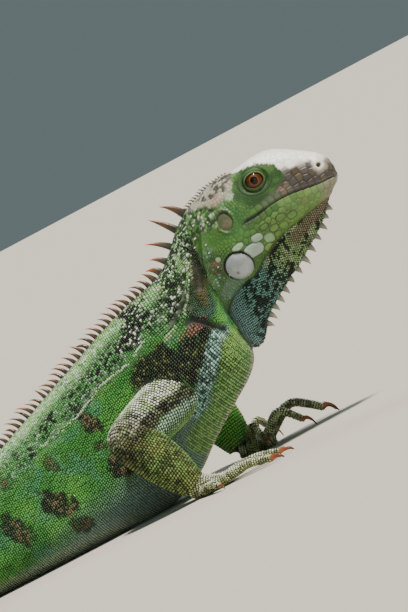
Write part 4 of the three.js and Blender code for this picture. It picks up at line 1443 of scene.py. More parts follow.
def dart_seeds(p, size, fixed, fixed_size):
    """Random seeds no closer than their spacing, and no closer to fixed seeds than half of both."""
    open_ = np.ones(len(p), bool)
    for place, reach in zip(fixed, fixed_size):
        open_ &= np.linalg.norm(p - place, axis=1) > 0.5 * (reach + size)
    chosen = []
    for i in rng.permutation(len(p)):
        if open_[i]:
            chosen.append(i)
            close = np.abs(p[:, 0] - p[i, 0]) < 4
            reach = 0.86 * np.minimum(size[close], size[i] * 1.2)
            open_[np.flatnonzero(close)] &= np.linalg.norm(p[close] - p[i], axis=1) > reach
    return np.array(chosen)


def nearest_two(p, seeds, size, candidates=7):
    """The seed whose distance over size is least, and how far the point lies from its plate's edge."""
    tree = tree_of(seeds)
    found = np.array([[(f[1], f[2]) for f in tree.find_n(q, candidates)] for q in p.tolist()])
    index = found[..., 0].astype(int)
    scaled = found[..., 1] / size[index]
    order = np.argsort(scaled, axis=1)[:, :2]
    first, second = np.take_along_axis(index, order, 1).T
    near_first, near_second = np.take_along_axis(scaled, order, 1).T
    edge = (near_second - near_first) * size[first] * size[second] / (size[first] + size[second])
    return first, edge


def head_paint(p):
    """Plate colours, seam colours and how strongly the seams show, by place on the head."""
    count = len(p)
    x, z = p[:, 0], p[:, 2]
    cloud = rough_noise(p * (1, 0.6, 1), 9, 81)
    fine = rough_noise(p, 1.5, 84)
    lip = z - mouth_height(x)
    patchy = rough_noise(p, 3.2, 86)
    below_lip = smooth(lip, -9, -4) * (1 - smooth(lip, -1.5, -0.3))
    temple = (1 - smooth(x, 148, 154)) * smooth(z, 98, 104)
    rear = 1 - smooth(x, 127, 136)
    eye = eye_region(p)
    above_edge = z - crown_edge(x)
    pale = smooth(above_edge, -0.3, 0.9) * smooth(lip, -0.3, 0.4) * smooth(x, 146, 151)
    snout = pale * smooth(x, 172, 176)
    low = snout * (1 - smooth(z + 0.16 * (x - 175), 116.6, 118.4))
    low = low * (1 - blot(p, 192.0, 112.6, 4.8, 4.4, 0, 0.3))
    from_edge = np.abs(z - 117.4 + 0.16 * (x - 175))
    tip = smooth(x, 189, 193.5) * smooth(z, 108, 112)
    tall = np.interp(x, (155, 166, 171, 174.5), (3.2, 4.8, 7.0, 9.5))
    labial = smooth(lip, 0.0, 0.5) * (1 - smooth(lip - tall, -0.5, 0.6)) * smooth(x, 155, 163)
    chin = smooth(x, 182, 191) * smooth(-lip, -0.2, 0.4)
    edge = np.interp(x, (126, 131, 140, 148.5, 152), (121.5, 120.5, 119.5, 121, 127))
    occiput = smooth(z - edge, -0.8, 0.8) * (1 - smooth(x, 150, 154))
    nape = (1 - smooth(x, 134, 145)) * smooth(z, 106, 112) * (1 - occiput)
    away, _ = along_line(x, z, ((192, 99), (188.6, 95.6), (180, 91.5), (170.1, 88.4), (160, 86.5)))
    jaw_edge = 1 - smooth(away, 1.8, 4.0)
    under = 1 - smooth(z - 0.30 * (x - 150), 82.5, 87.5)
    behind = (1 - smooth(x, 125, 131)) * (1 - smooth(z, 98, 106))
    colour = layered(
        paint("#56903A", count),
        # green cheek and temple
        ("#3B722A", smooth(cloud, 0.4, 0.65)),
        ("#7FA850", smooth(x, 146, 160) * (1 - smooth(lip, -2.5, -0.5)) * 0.65),
        ("#8DB46A", below_lip * smooth(x, 160, 172) * 0.5),
        ("#3B6F2C", 0.75 * blot(p, 156, 107.5, 12, 7, 0)),
        ("#3D7030", temple * 0.75),
        ("#6E8A3C", 0.45 * smooth(patchy, 0.55, 0.7)),
        ("#2F5A2A", 0.4 * smooth(rough_noise(p, 2.0, 83), 0.56, 0.68)),
        ("#5E9440", rear * 0.6),
        # round the eye: its own dark green, darkened further as painted shade under the brow
        ("#275517", eye),
        ("#58842F", eye * blot(p, 168.0, 122.0, 4.5, 2.6, -30) * 0.55),
        ("#244C1D", eye * (1 - smooth(z, 110, 114.5)) * 0.7),
        ("#568A38", eye * 0.45 * smooth(patchy, 0.54, 0.66)),
        # pale crown and snout; low on the snout dark grey-brown, partly its own colour and partly painted
        # shade under the snout's edge
        ("#FDFCF6", pale),
        ("#3C3634", low),
        ("#604F35", low * smooth(patchy, 0.52, 0.64) * 0.7),
        ("#8B8894", low * blot(p, 185.0, 113.5, 2.2, 3.4, 0, 0.3) * 0.9),
        ("#77727E", low * blot(p, 175.6, 112.0, 1.8, 3.4, 0, 0.3) * 0.7),
        # painted shadow just under the snout's edge
        ("#28252A", low * (1 - smooth(from_edge, 0.3, 1.2)) * 0.85),
        # the snout's tip
        ("#C9BC9A", tip * smooth(fine, 0.45, 0.6) * 0.7),
        ("#8C8478", smooth(x, 191.5, 194) * (1 - smooth(z, 107, 111)) * 0.5),
        # upper lip and chin
        ("#46413E", labial * 0.85),
        ("#625842", labial * smooth(patchy, 0.53, 0.66) * 0.7),
        ("#9A7464", blot(p, 171.4, 110.0, 3.6, 1.3, -8, 0.4) * 0.9),
        ("#587050", labial * (1 - smooth(x, 163, 171)) * 0.75),
        ("#A3A08E", chin * 0.75),
        # back of the head and nape
        ("#C2BEAC", occiput * 0.95),
        ("#2C2A20", occiput * speckle(p, 2.0, 87, 0.36) * 0.9),
        ("#8FBF74", nape * speckle(p, 2.0, 88, 0.25) * 0.85),
        ("#1C2616", nape * speckle(p, 1.3, 89, 0.5) * 0.9),
        ("#E8EEE0", nape * speckle(p, 1.0, 94, 0.1) * 0.9),
        ("#C8AFA2", blot(p, 140, 120.4, 4.6, 2.4, 20) * 0.7),
        # edge and underside of the jaw
        ("#94856E", jaw_edge * 0.85),
        ("#6E9A57", under * 0.6),
        ("#141E12", under * speckle(p, 1.7, 90, 0.45) * 0.9 * smooth(x, 139, 146)),
        # behind the jaw: darker green as painted shade under the jaw, with brown patches and pale specks
        ("#3C6C34", behind * 0.7),
        ("#6A5430", behind * smooth(rough_noise(p, 6, 96), 0.5, 0.64) * 0.7),
        ("#7FB09A", behind * speckle(p, 1.3, 97, 0.14) * 0.8),
        # single spots
        ("#7FA59A", blot(p, 128, 80, 8, 4, 20) * 0.5),
        ("#9A7060", blot(p, 126.3, 93.5, 2.8, 2.8, 0) * speckle(p, 1.6, 91, 0.6) * 0.8),
        ("#6A6A34", blot(p, 153.5, 86.5, 4.5, 3.2, 30) * 0.5),
        ("#C6D8BC", blot(p, 146.5, 119.0, 2.6, 1.8, 0) * 0.8),
    )
    seam = layered(
        paint("#1F3A18", count),
        ("#173C15", eye),
        ("#B0A688", pale),
        ("#4A3218", low),
        ("#35260F", labial * 0.9),
        ("#3B3A2E", occiput),
        ("#5A4A34", jaw_edge),
    )
    depth = np.full(count, 0.75)
    depth = depth * (1 - 0.45 * (1 - smooth(x, 150, 158)) * smooth(z, 97, 101))
    depth = depth * (1 - 0.5 * smooth(x, 159, 168) * (1 - smooth(lip, -1, 0)))
    depth = depth + (0.45 - depth) * eye
    depth = depth + (0.3 - depth) * pale * (1 - low)
    depth = depth + (0.8 - depth) * low
    tone = 0.72 + 0.28 * pale * (1 - low) + 0.2 * (fine - 0.5)
    return colour * tone[:, None], seam, depth


LIP_PITCH = 3.45  # from one lip scale to the next
LIP_SCALE = 3.3
LIP_AWAY = 1.75  # from the mouth line to the middle of a lip scale


def head_seeds(grid, u):
    """Seeds with a place of their own: two rows of lip scales and the nostril's ring."""
    places, sizes, colours = [], [], []
    half = HEAD_SIDES // 2
    body = grid[CAP_RINGS:]
    for side, column in ((RIGHT, half), (LEFT, 0)):
        line = body[:, column]
        passed = np.concatenate([[0], np.cumsum(np.linalg.norm(np.diff(line, axis=0), axis=1))])
        for k in range(14):
            row = int(np.searchsorted(passed, 1.0 + LIP_PITCH * k))
            if u[CAP_RINGS + row] > MOUTH_CORNER:
                break
            for direction in (1, -1):
                ring = body[row]
                step = 1 if (side == LEFT) == (direction == 1) else -1
                walk = (column + step * np.arange(24)) % HEAD_SIDES
                gone = np.concatenate([[0], np.cumsum(np.linalg.norm(np.diff(ring[walk], axis=0), axis=1))])
                places.append(ring[walk[min(int(np.searchsorted(gone, LIP_AWAY)), 23)]])
                sizes.append(LIP_SCALE)
                colours.append(None)
        places.append(NOSTRIL * (1, side, 1))
        sizes.append(3.9)
        colours.append("#B9B3A8")
    return np.array(places), np.array(sizes), colours


def outline_plates(flat, plate, edge, count):
    """The named plates cut into the pattern: rounded boxes |a|^2.6 + |b|^2.6 = 1 on both sides."""
    for k, (x, z, long_, high, tilt, _) in enumerate(NAMED_PLATES):
        c, s = math.cos(math.radians(tilt)), math.sin(math.radians(tilt))
        dx, dz = flat[:, 0] - x, flat[:, 2] - z
        a, b = (dx * c + dz * s) / long_, (dz * c - dx * s) / high
        q = (np.abs(a) ** 2.6 + np.abs(b) ** 2.6) ** (1 / 2.6)
        for side in SIDES.values():
            here = (flat[:, 1] * side > 6) & (q < 2)
            inside = here & (q < 1)
            away = np.abs(1 - q) * min(long_, high)
            edge = np.where(inside, away, np.where(here, np.minimum(edge, away), edge))
            plate = np.where(inside, count + k, plate)
    return plate, edge


def plate_pattern(flat, fixed, fixed_size):
    """The plate of each point, its distance from that plate's edge, and the plates' seeds and sizes."""
    spacing = plate_spacing(flat)
    darts = dart_seeds(flat, spacing, fixed, fixed_size)
    seeds = np.vstack([fixed, flat[darts]])
    size = np.concatenate([fixed_size, spacing[darts]])
    plate, edge = nearest_two(flat, seeds, size)
    for _ in range(3):
        counts = np.maximum(np.bincount(plate, minlength=len(seeds)), 1)[:, None]
        middle = np.stack([np.bincount(plate, flat[:, k], len(seeds)) for k in range(3)], axis=1) / counts
        seeds[len(fixed):] = middle[len(fixed):]
        plate, edge = nearest_two(flat, seeds, size)
    plate, edge = outline_plates(flat, plate, edge, len(seeds))
    size = np.concatenate([size, [2 * min(long_, high) for _, _, long_, high, _, _ in NAMED_PLATES]])
    return plate, edge, seeds, size


def plate_colours(flat, plate, seeds, fixed_colour):
    """The shell's colours, mostly each plate's own, and its seams' colours and depth."""
    named = np.array([(x, 16.0, z) for x, z, *_ in NAMED_PLATES])
    own, _, _ = head_paint(np.vstack([seeds, named]))
    own = own * rng.uniform(0.93, 1.07, (len(own), 1))
    free = [None] * (len(seeds) - len(fixed_colour))
    for i, colour in enumerate([*fixed_colour, *free, *[row[5] for row in NAMED_PLATES]]):
        if colour:
            own[i] = linear(colour)
    local, seam, depth = head_paint(flat)
    return own[plate] * 0.7 + local * 0.3, seam, np.where(plate >= len(seeds), 1.0, depth)


def cut_mouth(lift, colour, u, x):
    """A slit along the line between the two halves, under an overhanging lip, painted dark as shade, with
    painted shade on the ledge under its rear part.
    """
    half = HEAD_SIDES // 2
    column = np.tile(np.arange(HEAD_SIDES), len(u))
    from_line = np.minimum(np.abs(column - half), np.minimum(column, HEAD_SIDES - column))
    above = (column > 0) & (column < half)
    mouth = 1 - smooth(np.repeat(u, HEAD_SIDES), MOUTH_CORNER - 0.4, MOUTH_CORNER + 0.25)
    crease = 1 - smooth(x, 156.5, 160.5)
    slit = bell(from_line, 0, 0.9 + 2.2 * crease)
    ledge = mouth * bell(from_line, 0, 9)
    lift = lift - mouth * slit * (0.5 + 0.2 * crease)
    lift = lift + mouth * above * 0.2 * bell(from_line, 4, 2.0)
    colour = layered(
        colour,
        # painted shade in the slit, and on the ledge under its rear part
        ("#3E3A26", mouth * slit * (1 - crease) * 0.75),
        ("#12100C", mouth * slit * crease * 0.95),
        ("#1E3414", ledge * crease * ~above * 0.6),
    )
    return lift, colour, ledge


def cut_nostrils(lift, colour, mirrored):
    """A raised pale ring round a hole, whose inside is painted near black as shade."""
    away = np.linalg.norm((mirrored - NOSTRIL) * (1, 0.6, 1), axis=1)
    lift = lift + 0.6 * bell(away, 1.9, 0.9) - 1.8 * (1 - smooth(away, 0.75, 1.25))
    colour = mixed(colour, "#E6E2CC", bell(away, 1.9, 1.1) * 0.9)
    # the hole painted near black as shade
    return lift, mixed(colour, "#070605", 1 - smooth(away, 0.95, 1.3))


def cut_seats(lift, colour, mirrored):
    """The eardrum's hollow, with painted shadow over its upper part, and the seat of the cheek's shield."""
    x, side, z = mirrored.T
    on_side = side > 9
    q = np.hypot((x - EAR[0]) / EAR_SIZE[0], (z - EAR[2]) / EAR_SIZE[1])
    lift = lift - 1.3 * (1 - smooth(q, 0.82, 1.08)) * on_side
    lift = lift + 0.45 * bell(q, 1.25, 0.18) * on_side
    seat = np.hypot(x - SHIELD[0], z - SHIELD[2]) / SHIELD_RADIUS
    lift = lift - 0.7 * (1 - smooth(seat, 0.98, 1.08)) * on_side
    lift = lift + 0.3 * bell(seat, 1.14, 0.06) * on_side
    colour = layered(
        colour,
        ("#3A3A22", bell(q, 1.0, 0.12) * on_side * 0.55),
        # painted shadow over the eardrum's upper part
        ("#16180F", (1 - smooth(q, 0.9, 1.6)) * on_side * (z > 112) * 0.6),
        ("#0F130C", (1 - smooth(seat, 1.03, 1.10)) * on_side),
    )
    return lift, colour


def draw_lids(placed, colour, side):
    """The plates near an eye, drawn over its ball. Inside the opening they pass behind it. Their creases
    and the part inside the opening are painted dark as shade.
    """
    eye, look = eye_side(side)
    forward = unit(np.array((1, 0, 0)) - look * look[0])
    upward = np.cross(forward, look) * side
    offset = placed - eye
    a, b, h = (offset @ axis for axis in (forward, upward, look))
    r = np.hypot(a / LID_HALF[0], b / LID_HALF[1])
    zone = (h > 0) & (r < LID_REACH)
    # Points close to the opening's edge are moved onto it.
    snap = np.where((r > 0.9) & (r < 1.04), 1.0 / np.maximum(r, 1e-6), 1.0)
    a, b, r = a * snap, b * snap, r * snap
    ball, inside = (
        np.sqrt(np.maximum(radius ** 2 - a ** 2 - b ** 2, 0.0))
        for radius in (EYE_RADIUS + LID_THICKNESS, EYE_RADIUS - 0.9)
    )
    cover = smooth(r, 1.0, 1.7)
    lid = ball * (1 - cover) + np.maximum(h, ball) * cover
    lid = lid + 0.28 * bell(r, 1.07, 0.07)
    lower = 0.35 + 0.65 * smooth(-b, -1.5, 1.5)
    for ring, deep in LID_CREASES:
        lid = lid - deep * lower * bell(r, ring, 0.055)
    lid = lid - 0.3 * (b > 0) * bell(r, 1.27, 0.07)
    height = np.where(r < 0.999, inside, lid)
    moved = eye + a[:, None] * forward + b[:, None] * upward + height[:, None] * look
    weight = (1 - smooth(r, 1.9, LID_REACH))[:, None]
    placed = np.where(zone[:, None], placed * (1 - weight) + moved * weight, placed)
    colour = layered(
        colour,
        ("#76883E", zone * bell(r, 1.12, 0.06) * 0.6),
        ("#0E150B", zone * bell(r, 1.02, 0.045) * 0.9),
        # painted shade in the lids' creases, inside the opening and in the fold over the eye
        *(("#10300F", zone * 0.8 * lower * bell(r, ring, 0.07)) for ring, _ in LID_CREASES),
        ("#0A0C08", zone * (r < 0.999)),
        ("#0C120A", zone * (b > 0) * bell(r, 1.26, 0.08) * 0.85),
    )
    return placed, colour


def head_shell():
    """The head's plates as one closed shell, with mouth, nostrils, ears, shields' seats and eyelids."""
    grid, u = head_grid()
    normal = grid_normals(grid)
    if np.sum(normal * (grid - grid.mean(axis=1, keepdims=True))) < 0:
        normal = -normal
    flat = grid.reshape(-1, 3)
    fixed, fixed_size, fixed_colour = head_seeds(grid, u)
    plate, edge, seeds, size = plate_pattern(flat, fixed, fixed_size)
    colour, seam, depth = plate_colours(flat, plate, seeds, fixed_colour)
    groove = depth * bell(edge, 0, SEAM_HALF)
    colour = colour * (1 - 0.9 * groove[:, None]) + seam * 0.9 * groove[:, None]
    dome = 0.06 * size[plate] * (1 - np.exp(-edge / (0.25 * size[plate])))
    lift = -0.2 - 0.34 * groove + np.minimum(dome, 0.22) * (0.4 + 0.6 * depth)
    lift, colour, ledge = cut_mouth(lift, colour, u, flat[:, 0])
    mirrored = on_left(flat)
    lift, colour = cut_nostrils(lift, colour, mirrored)
    lift, colour = cut_seats(lift, colour, mirrored)
    lift = lift - 1.6 * smooth(np.repeat(u, HEAD_SIDES), HEAD_END - 0.28, HEAD_END)
    placed = flat + normal.reshape(-1, 3) * lift[:, None]
    for side in SIDES.values():
        placed, colour = draw_lids(placed, colour, side)
    placed[:, 2] = np.maximum(placed[:, 2], FLOOR_CLEAR)

    points, faces = closed_tube(placed.reshape(grid.shape))
    colour = np.clip(np.vstack([colour, colour[:HEAD_SIDES].mean(0), colour[-HEAD_SIDES:].mean(0)]), 0, 1)
    share = np.linspace(0.01, 0.99, len(grid))
    across = 0.01 + 0.98 * np.arange(HEAD_SIDES) / HEAD_SIDES
    uv = np.stack(np.broadcast_arrays(share[:, None], across[None, :]), axis=-1).reshape(-1, 2)
    mesh = make_mesh("head_plates", points, faces)
    dull = np.maximum(np.maximum(groove, ledge), 0.9 * eye_region(flat))
    give_paint(mesh, colour, np.concatenate([dull, [0, 0]]))
    give_bake_map(mesh, np.vstack([uv, (0.004, 0.5), (0.996, 0.5)]))
    add_piece("head_plates", mesh, plate_keratin)
    all_roots.append((flat[::7], (colour[:len(flat)] * 0.4)[::7]))


SEAM_HALF = 0.24  # half width of the seams between plates
LID_HALF = (4.5, 3.65)  # half length and half height of the eye's opening
LID_THICKNESS = 0.42
LID_REACH = 2.3  # where the lids end, as a share of the opening's half size
LID_CREASES = ((1.36, 0.24), (1.62, 0.22), (1.92, 0.18))  # distance as the same share, and depth
plate_keratin = scale_horn(
    "keratin_head_plates", roughness=0.42, grain_mm=0.55, bump_mm=0.05, mottle=0.10,
)
head_shell()


# ---------------------------------------------------------------- eyes, eardrums, shields
def dome_grid(rings, sides, edge):
    """Unit sphere points from the pole (+Z) to the polar angle edge: sin, cos of the two angles."""
    polar = np.linspace(0.0, edge, rings)[:, None]
    turn = np.linspace(0, 2 * math.pi, sides, endpoint=False)[None, :]
    polar = np.maximum(polar, 1e-3)
    return np.stack(np.broadcast_arrays(
        np.sin(polar) * np.cos(turn), np.sin(polar) * np.sin(turn), np.cos(polar) + 0 * turn,
    ), axis=-1)


def set_in(grid, place, look, size):
    """A grid round +Z, stretched by size, turned so that +Z is look, and put at place."""
    forward = unit(np.array((1, 0, 0)) - look * look[0])
    upward = np.cross(look, forward)
    for k, axis in enumerate((forward, upward, look)):
        place = place + grid[..., k:k + 1] * size[k] * axis
    return place


iris = wet_eye()
for word, value in SIDES.items():
    place, look = eye_side(value)
    ball = dome_grid(40, 48, math.pi - 1e-3)
    points, faces = closed_tube(set_in(ball, place, look, (EYE_RADIUS - 0.08,) * 3))
    mesh = make_mesh(f"eyeball_{word}", points, faces)
    from_axis = np.hypot(ball[..., 0], ball[..., 1] * 0.90)
    from_axis = np.where(ball[..., 2] < 0, 1.0, from_axis).ravel()
    give_paint(mesh, paint("#8A4A20", len(points)), np.concatenate([from_axis, [0, 1]]))
    add_piece(f"eyeball_{word}", mesh, iris, [f"eye_{word}"])

drum_skin = scale_horn("eardrum_membrane", roughness=0.55, grain_mm=0.5, bump_mm=0.04, mottle=0.15)
shield_keratin = scale_horn("keratin_shield", roughness=0.33, grain_mm=1.6, bump_mm=0.03, mottle=0.05)
for word, value in SIDES.items():
    seat, look, _ = beside(EAR[0], EAR[2], value)
    drum = dome_grid(14, 40, math.pi / 2)
    drum[..., 2] = 0.5 * (drum[..., 2] - 0.5)
    size = (EAR_SIZE[0] * 1.02, EAR_SIZE[1] * 1.02, 1.0)
    points, faces = closed_tube(set_in(drum, seat[0], look[0], size))
    tone = mixed(paint("#4A5236", len(points)), "#605A48", smooth(rough_noise(points, 2.4, 93), 0.45, 0.62))
    tone = mixed(tone, "#46502E", smooth(rough_noise(points, 1.2, 95), 0.5, 0.65) * 0.6)
    mesh = make_mesh(f"eardrum_{word}", points, faces)
    give_paint(mesh, tone)
    add_piece(f"eardrum_{word}", mesh, drum_skin, [f"ear_{word}"])


def domed_plate(x, z, side, radius, bulge):
    """A round plate that follows the head's side: the skin under it, raised by bulge * (1 - r^4)."""
    r = np.linspace(0.02, 1, 14)
    turn = np.linspace(0, 2 * math.pi, 48, endpoint=False)
    seats = [
        beside(x + radius * share * math.cos(t), z + radius * share * math.sin(t), side)
        for share in r for t in turn
    ]
    place = np.array([seat[0][0] for seat in seats]).reshape(len(r), len(turn), 3)
    normal = unit(np.array([seat[1][0] for seat in seats]).reshape(place.shape))
    height = (0.55 + bulge * (1 - r ** 4))[:, None, None]
    top = place + normal * height
    under = (place - normal * 0.1)[::-1]
    edge = place[-1:] + normal[-1:] * 0.3 + unit(place[-1:] - place[:1]) * 0.12
    return closed_tube(np.concatenate([top, edge, under]))


for word, value in SIDES.items():
    points, faces = domed_plate(SHIELD[0], SHIELD[2], value, SHIELD_RADIUS * 0.91, 0.75)
    tone = mixed(paint("#A8B0B4", len(points)), "#98A1A5", smooth(rough_noise(points, 4.0, 101), 0.4, 0.6))
    spot = np.linalg.norm((points - (SHIELD[0] - 2.0, 0, SHIELD[2] - 2.6)) * (1, 0, 1), axis=1)
    tone = mixed(tone, "#5E5C58", (1 - smooth(spot, 0.4, 0.95)) * 0.85)
    rim = np.linalg.norm((points - SHIELD) * (1, 0, 1), axis=1) / SHIELD_RADIUS
    tone = mixed(tone, "#8F9A92", smooth(rim, 0.82, 0.92) * 0.6)
    mesh = make_mesh(f"cheek_shield_{word}", points, faces)
    give_paint(mesh, tone)
    add_piece(f"cheek_shield_{word}", mesh, shield_keratin, [f"cheek_plate_{word}"])


# ---------------------------------------------------------------- spines, cones and claws
CREST_END = VENT + 0.45 * TAIL_STEPS
# The crest on the neck, on the trunk and on the rump: height, distance from spine to spine, and lean
# in degrees (the rump's is the trunk's).
CREST_HEIGHTS = (14.5, 8.2, 4.2)
CREST_PITCHES = (8.6, 3.2, 5.5)
CREST_LEANS = (8, 27)


def wobble(k):
    """An even scatter between 0 and 1, for lengths that are never quite alike."""
    return 0.5 + 0.5 * np.sin(k * 12.9898 + 4.1) * np.cos(k * 4.7)


def blend(neck, trunk, rump, to_trunk, to_rump):
    """From the neck's value to the trunk's, and from there to the rump's."""
    value = neck + (trunk - neck) * to_trunk
    return value + (rump - value) * to_rump


def crest_height(u, k):
    """Low behind the crown, tallest on the neck, low again on the tail."""
    nape = smooth(u, STATION["jowls"] + 0.6, STATION["neck_front"])
    back = smooth(u, STATION["neck_middle"] + 0.5, STATION["breast"] + 0.3)
    rump = smooth(u, STATION["belly"], VENT + 2)
    height = blend(*CREST_HEIGHTS, back, rump)
    tail = 1 - 0.55 * smooth(u, VENT, CREST_END)
    return nape * height * tail * (0.78 + 0.3 * wobble(k))


def crest_pitch(u):
    """Distance from spine to spine."""
    back = smooth(u, STATION["neck_middle"], STATION["shoulders"])
    rump = smooth(u, STATION["flank"], VENT + 2)
    return blend(*CREST_PITCHES, back, rump)


def crest_lean(u):
    """How far a spine leans back, in degrees: almost upright on the neck."""
    upright, leaning = CREST_LEANS
    return upright + (leaning - upright) * smooth(u, STATION["neck_middle"], STATION["breast"])


def walk(line, start, end, pitch):
    """Stations from start to end whose feet on the line are pitch apart."""
    fine = np.arange(start, end, 0.01)
    step = np.linalg.norm(np.diff(line(fine), axis=0), axis=1)
    count = np.concatenate([[0], np.cumsum(step / at_each(pitch, fine[1:]))])
    return np.interp(np.arange(1, count[-1]), count, fine)


def horns(foot, along, up, height, length, thickness, lean, bow, rings=10, sides=8):
    """Curved horns: the centre line is a quadratic curve from foot to tip.

    The section shrinks as 1 - t^1.4. along points ahead, and the tip leans back from it by lean.
    Gives grids (horns, rings, sides, 3) and t.
    """
    t = np.linspace(0, 1, rings)
    turn = np.linspace(0, 2 * math.pi, sides, endpoint=False)
    height, length, thickness, lean = (
        np.broadcast_to(v, len(foot))[:, None] for v in (height, length, thickness, lean)
    )
    root = foot - up * 1.3
    tip = foot + (up * np.cos(lean) - along * np.sin(lean)) * height
    bend = foot + up * height * bow + along * height * 0.05
    t_ = t[None, :, None]
    centre = (1 - t_) ** 2 * root[:, None] + 2 * t_ * (1 - t_) * bend[:, None] + t_ ** 2 * tip[:, None]
    run = unit(2 * (1 - t_) * (bend - root)[:, None] + 2 * t_ * (tip - bend)[:, None])
    side = unit(np.cross(up, along))[:, None] + 0 * run
    front = np.cross(side, run)
    taper = np.maximum(1 - t ** 1.4, 0.05)[None, :, None, None]
    c, s = np.cos(turn)[None, None, :, None], np.sin(turn)[None, None, :, None]
    wide = front[:, :, None] * c * length[:, None, None] / 2
    thick = side[:, :, None] * s * thickness[:, None, None] / 2
    return centre[:, :, None] + (wide + thick) * taper, t


def horn_piece(name, grids, colours, material, replaces=()):
    """Joined horns as one piece. colours has one row for each horn and ring."""
    points, faces = joined([closed_tube(grid) for grid in grids])
    sides = grids.shape[2]
    colour = [np.vstack([np.repeat(rows, sides, axis=0), rows[:1], rows[-1:]]) for rows in colours]
    points[:, 2] = np.maximum(points[:, 2], FLOOR_CLEAR)
    mesh = make_mesh(name, points, faces)
    give_paint(mesh, np.vstack(colour))
    return add_piece(name, mesh, material, replaces)


def horn_colours(t, base, middle, tip, tone):
    """From base to middle to tip along each horn; tone lightens or darkens each by itself."""
    rows = paint(base, len(tone) * len(t)).reshape(len(tone), len(t), 3)
    rows = mixed(rows, middle, smooth(t, 0.12, 0.5)[None, :])
    rows = mixed(rows, tip, smooth(t, 0.5, 0.85)[None, :] * np.clip(tone, 0, 1)[:, None])
    return rows * (0.8 + 0.4 * tone)[:, None, None]


def dorsal(u):
    """The line of the back."""
    return through(BODY, u)[:, 0:3]


crest_horn = horn("keratin_spine", glow_mm=1.2, roughness=0.28, streaks_mm=0.5)
feet = walk(dorsal, STATION["head_back"] + 0.15, CREST_END, crest_pitch)
number = np.arange(1, len(feet) + 1)
ahead = unit(dorsal(feet - 0.1) - dorsal(feet + 0.1))
tall = through(BODY, feet)
rise = unit(np.cross(ahead, unit(np.cross(tall[:, 0:3] - tall[:, 3:6], ahead))))
rise = rise * np.sign(rise[:, 2:3])
base_length = np.minimum(crest_pitch(feet) * 0.85, 4.3)  # along the back
swing = rng.normal(0, 0.09, (len(feet), 1)) * np.cross(ahead, rise)
crest_tall = crest_height(feet, number) * rng.uniform(0.7, 1.08, len(feet))
base_length = base_length * rng.uniform(0.8, 1.05, len(feet))
lean = np.radians(crest_lean(feet) + rng.normal(0, 6, len(feet)))
grids, t = horns(
    dorsal(feet), ahead, unit(rise + swing), crest_tall, base_length, thickness=1.9, lean=lean, bow=0.47,
)
colours = horn_colours(t, "#2E2C27", "#5E452C", "#B85E2A", rng.uniform(0, 1, len(feet)))
horn_piece("crest_spines", grids, colours, crest_horn)

# A row of small cones along the middle of the nape, ahead of the crest and between its first spines.
nape = walk(dorsal, STATION["crown"] + 0.6, STATION["neck_front"] + 0.2, 1.7)
nape_ahead = unit(dorsal(nape - 0.1) - dorsal(nape + 0.1))
nape_up = np.cross(nape_ahead, np.cross(np.array((0, 0, 1.0)), nape_ahead))
cone_height = 1.0 + 1.5 * smooth(nape, STATION["mouth_corner"], STATION["head_back"])
cone_height = cone_height * (0.8 + 0.4 * wobble(np.arange(len(nape))))
grids, t = horns(
    dorsal(nape) - nape_up * 0.2, nape_ahead, unit(nape_up), cone_height, length=1.5, thickness=1.4,
    lean=math.radians(38), bow=0.6, rings=6, sides=7,
)
colours = horn_colours(t, "#3F4034", "#5C5A48", "#8A8468", wobble(np.arange(len(nape)) + 9.0))
horn_piece("nape_cones", grids, colours, crest_horn)


def dewlap_edge(u):
    """The throat flap's lower edge."""
    rows = np.array([(vx, 0, vz) for _, _, vx, vz, _ in DEWLAP], float)
    return through(rows, u)


GULAR_COUNT = 13
k = np.arange(GULAR_COUNT)
gular = 0.35 + k / GULAR_COUNT * 4.3
gular_along = unit(dewlap_edge(gular - 0.05) - dewlap_edge(gular + 0.05))
gular_out = np.stack([gular_along[:, 2], 0 * gular, -gular_along[:, 0]], axis=1)
gular_height = 4.2 * (0.62 + 0.5 * wobble(k + 3)) * np.where(k < 2, 0.7, 1)
grids, t = horns(
    dewlap_edge(gular), gular_along, gular_out, gular_height, length=3.4, thickness=1.7,
    lean=math.radians(10), bow=0.5, rings=8,
)
colours = horn_colours(t, "#5F6456", "#8B8B7C", "#A9A79A", wobble(k + 3.0))
horn_piece("throat_spines", grids, colours, crest_horn)

# Pale cone scales on the neck and shoulder: x, z and radius.
TUBERCLES = (
    (115.5, 103.2, 1.5), (110.8, 97.5, 1.4), (99.0, 85.8, 1.4), (88.5, 87.0, 1.5), (117.5, 107.5, 1.3),
    (113.6, 100.2, 1.1), (108.0, 92.6, 1.1), (104.0, 88.6, 1.0), (94.0, 91.0, 0.9), (122.5, 108.5, 1.0),
    (120.2, 104.8, 0.9), (126.0, 103.6, 0.9), (125.6, 99.6, 0.8), (126.3, 91.8, 0.9), (124.5, 87.0, 0.8),
    (129.0, 86.0, 0.8), (103.5, 98.2, 0.9), (98.0, 94.8, 1.0), (91.5, 83.0, 0.8), (83.5, 90.0, 0.9),
    (128.8, 113.0, 1.0), (124.6, 114.2, 1.0), (131.8, 112.6, 0.9), (106.4, 101.4, 0.9),
)
for word, value in SIDES.items():
    seats = [beside(x, z, value) for x, z, _ in TUBERCLES]
    foot = np.array([s[0][0] for s in seats])
    up = np.array([s[1][0] for s in seats])
    radius = np.array([r for _, _, r in TUBERCLES])
    ahead = unit_back(np.tile((0.8, 0, 0.6), (len(foot), 1)), up)
    grids, t = horns(
        foot + up * 0.2, ahead, up, height=radius * 1.3, length=radius * 1.9, thickness=radius * 1.6,
        lean=math.radians(30), bow=0.7, rings=8, sides=10,
    )
    colours = horn_colours(t, "#6E7A66", "#A3AC9C", "#C3C8BE", wobble(np.arange(len(foot)) + 2.0))
    horn_piece(f"neck_cones_{word}", grids, colours, crest_horn)

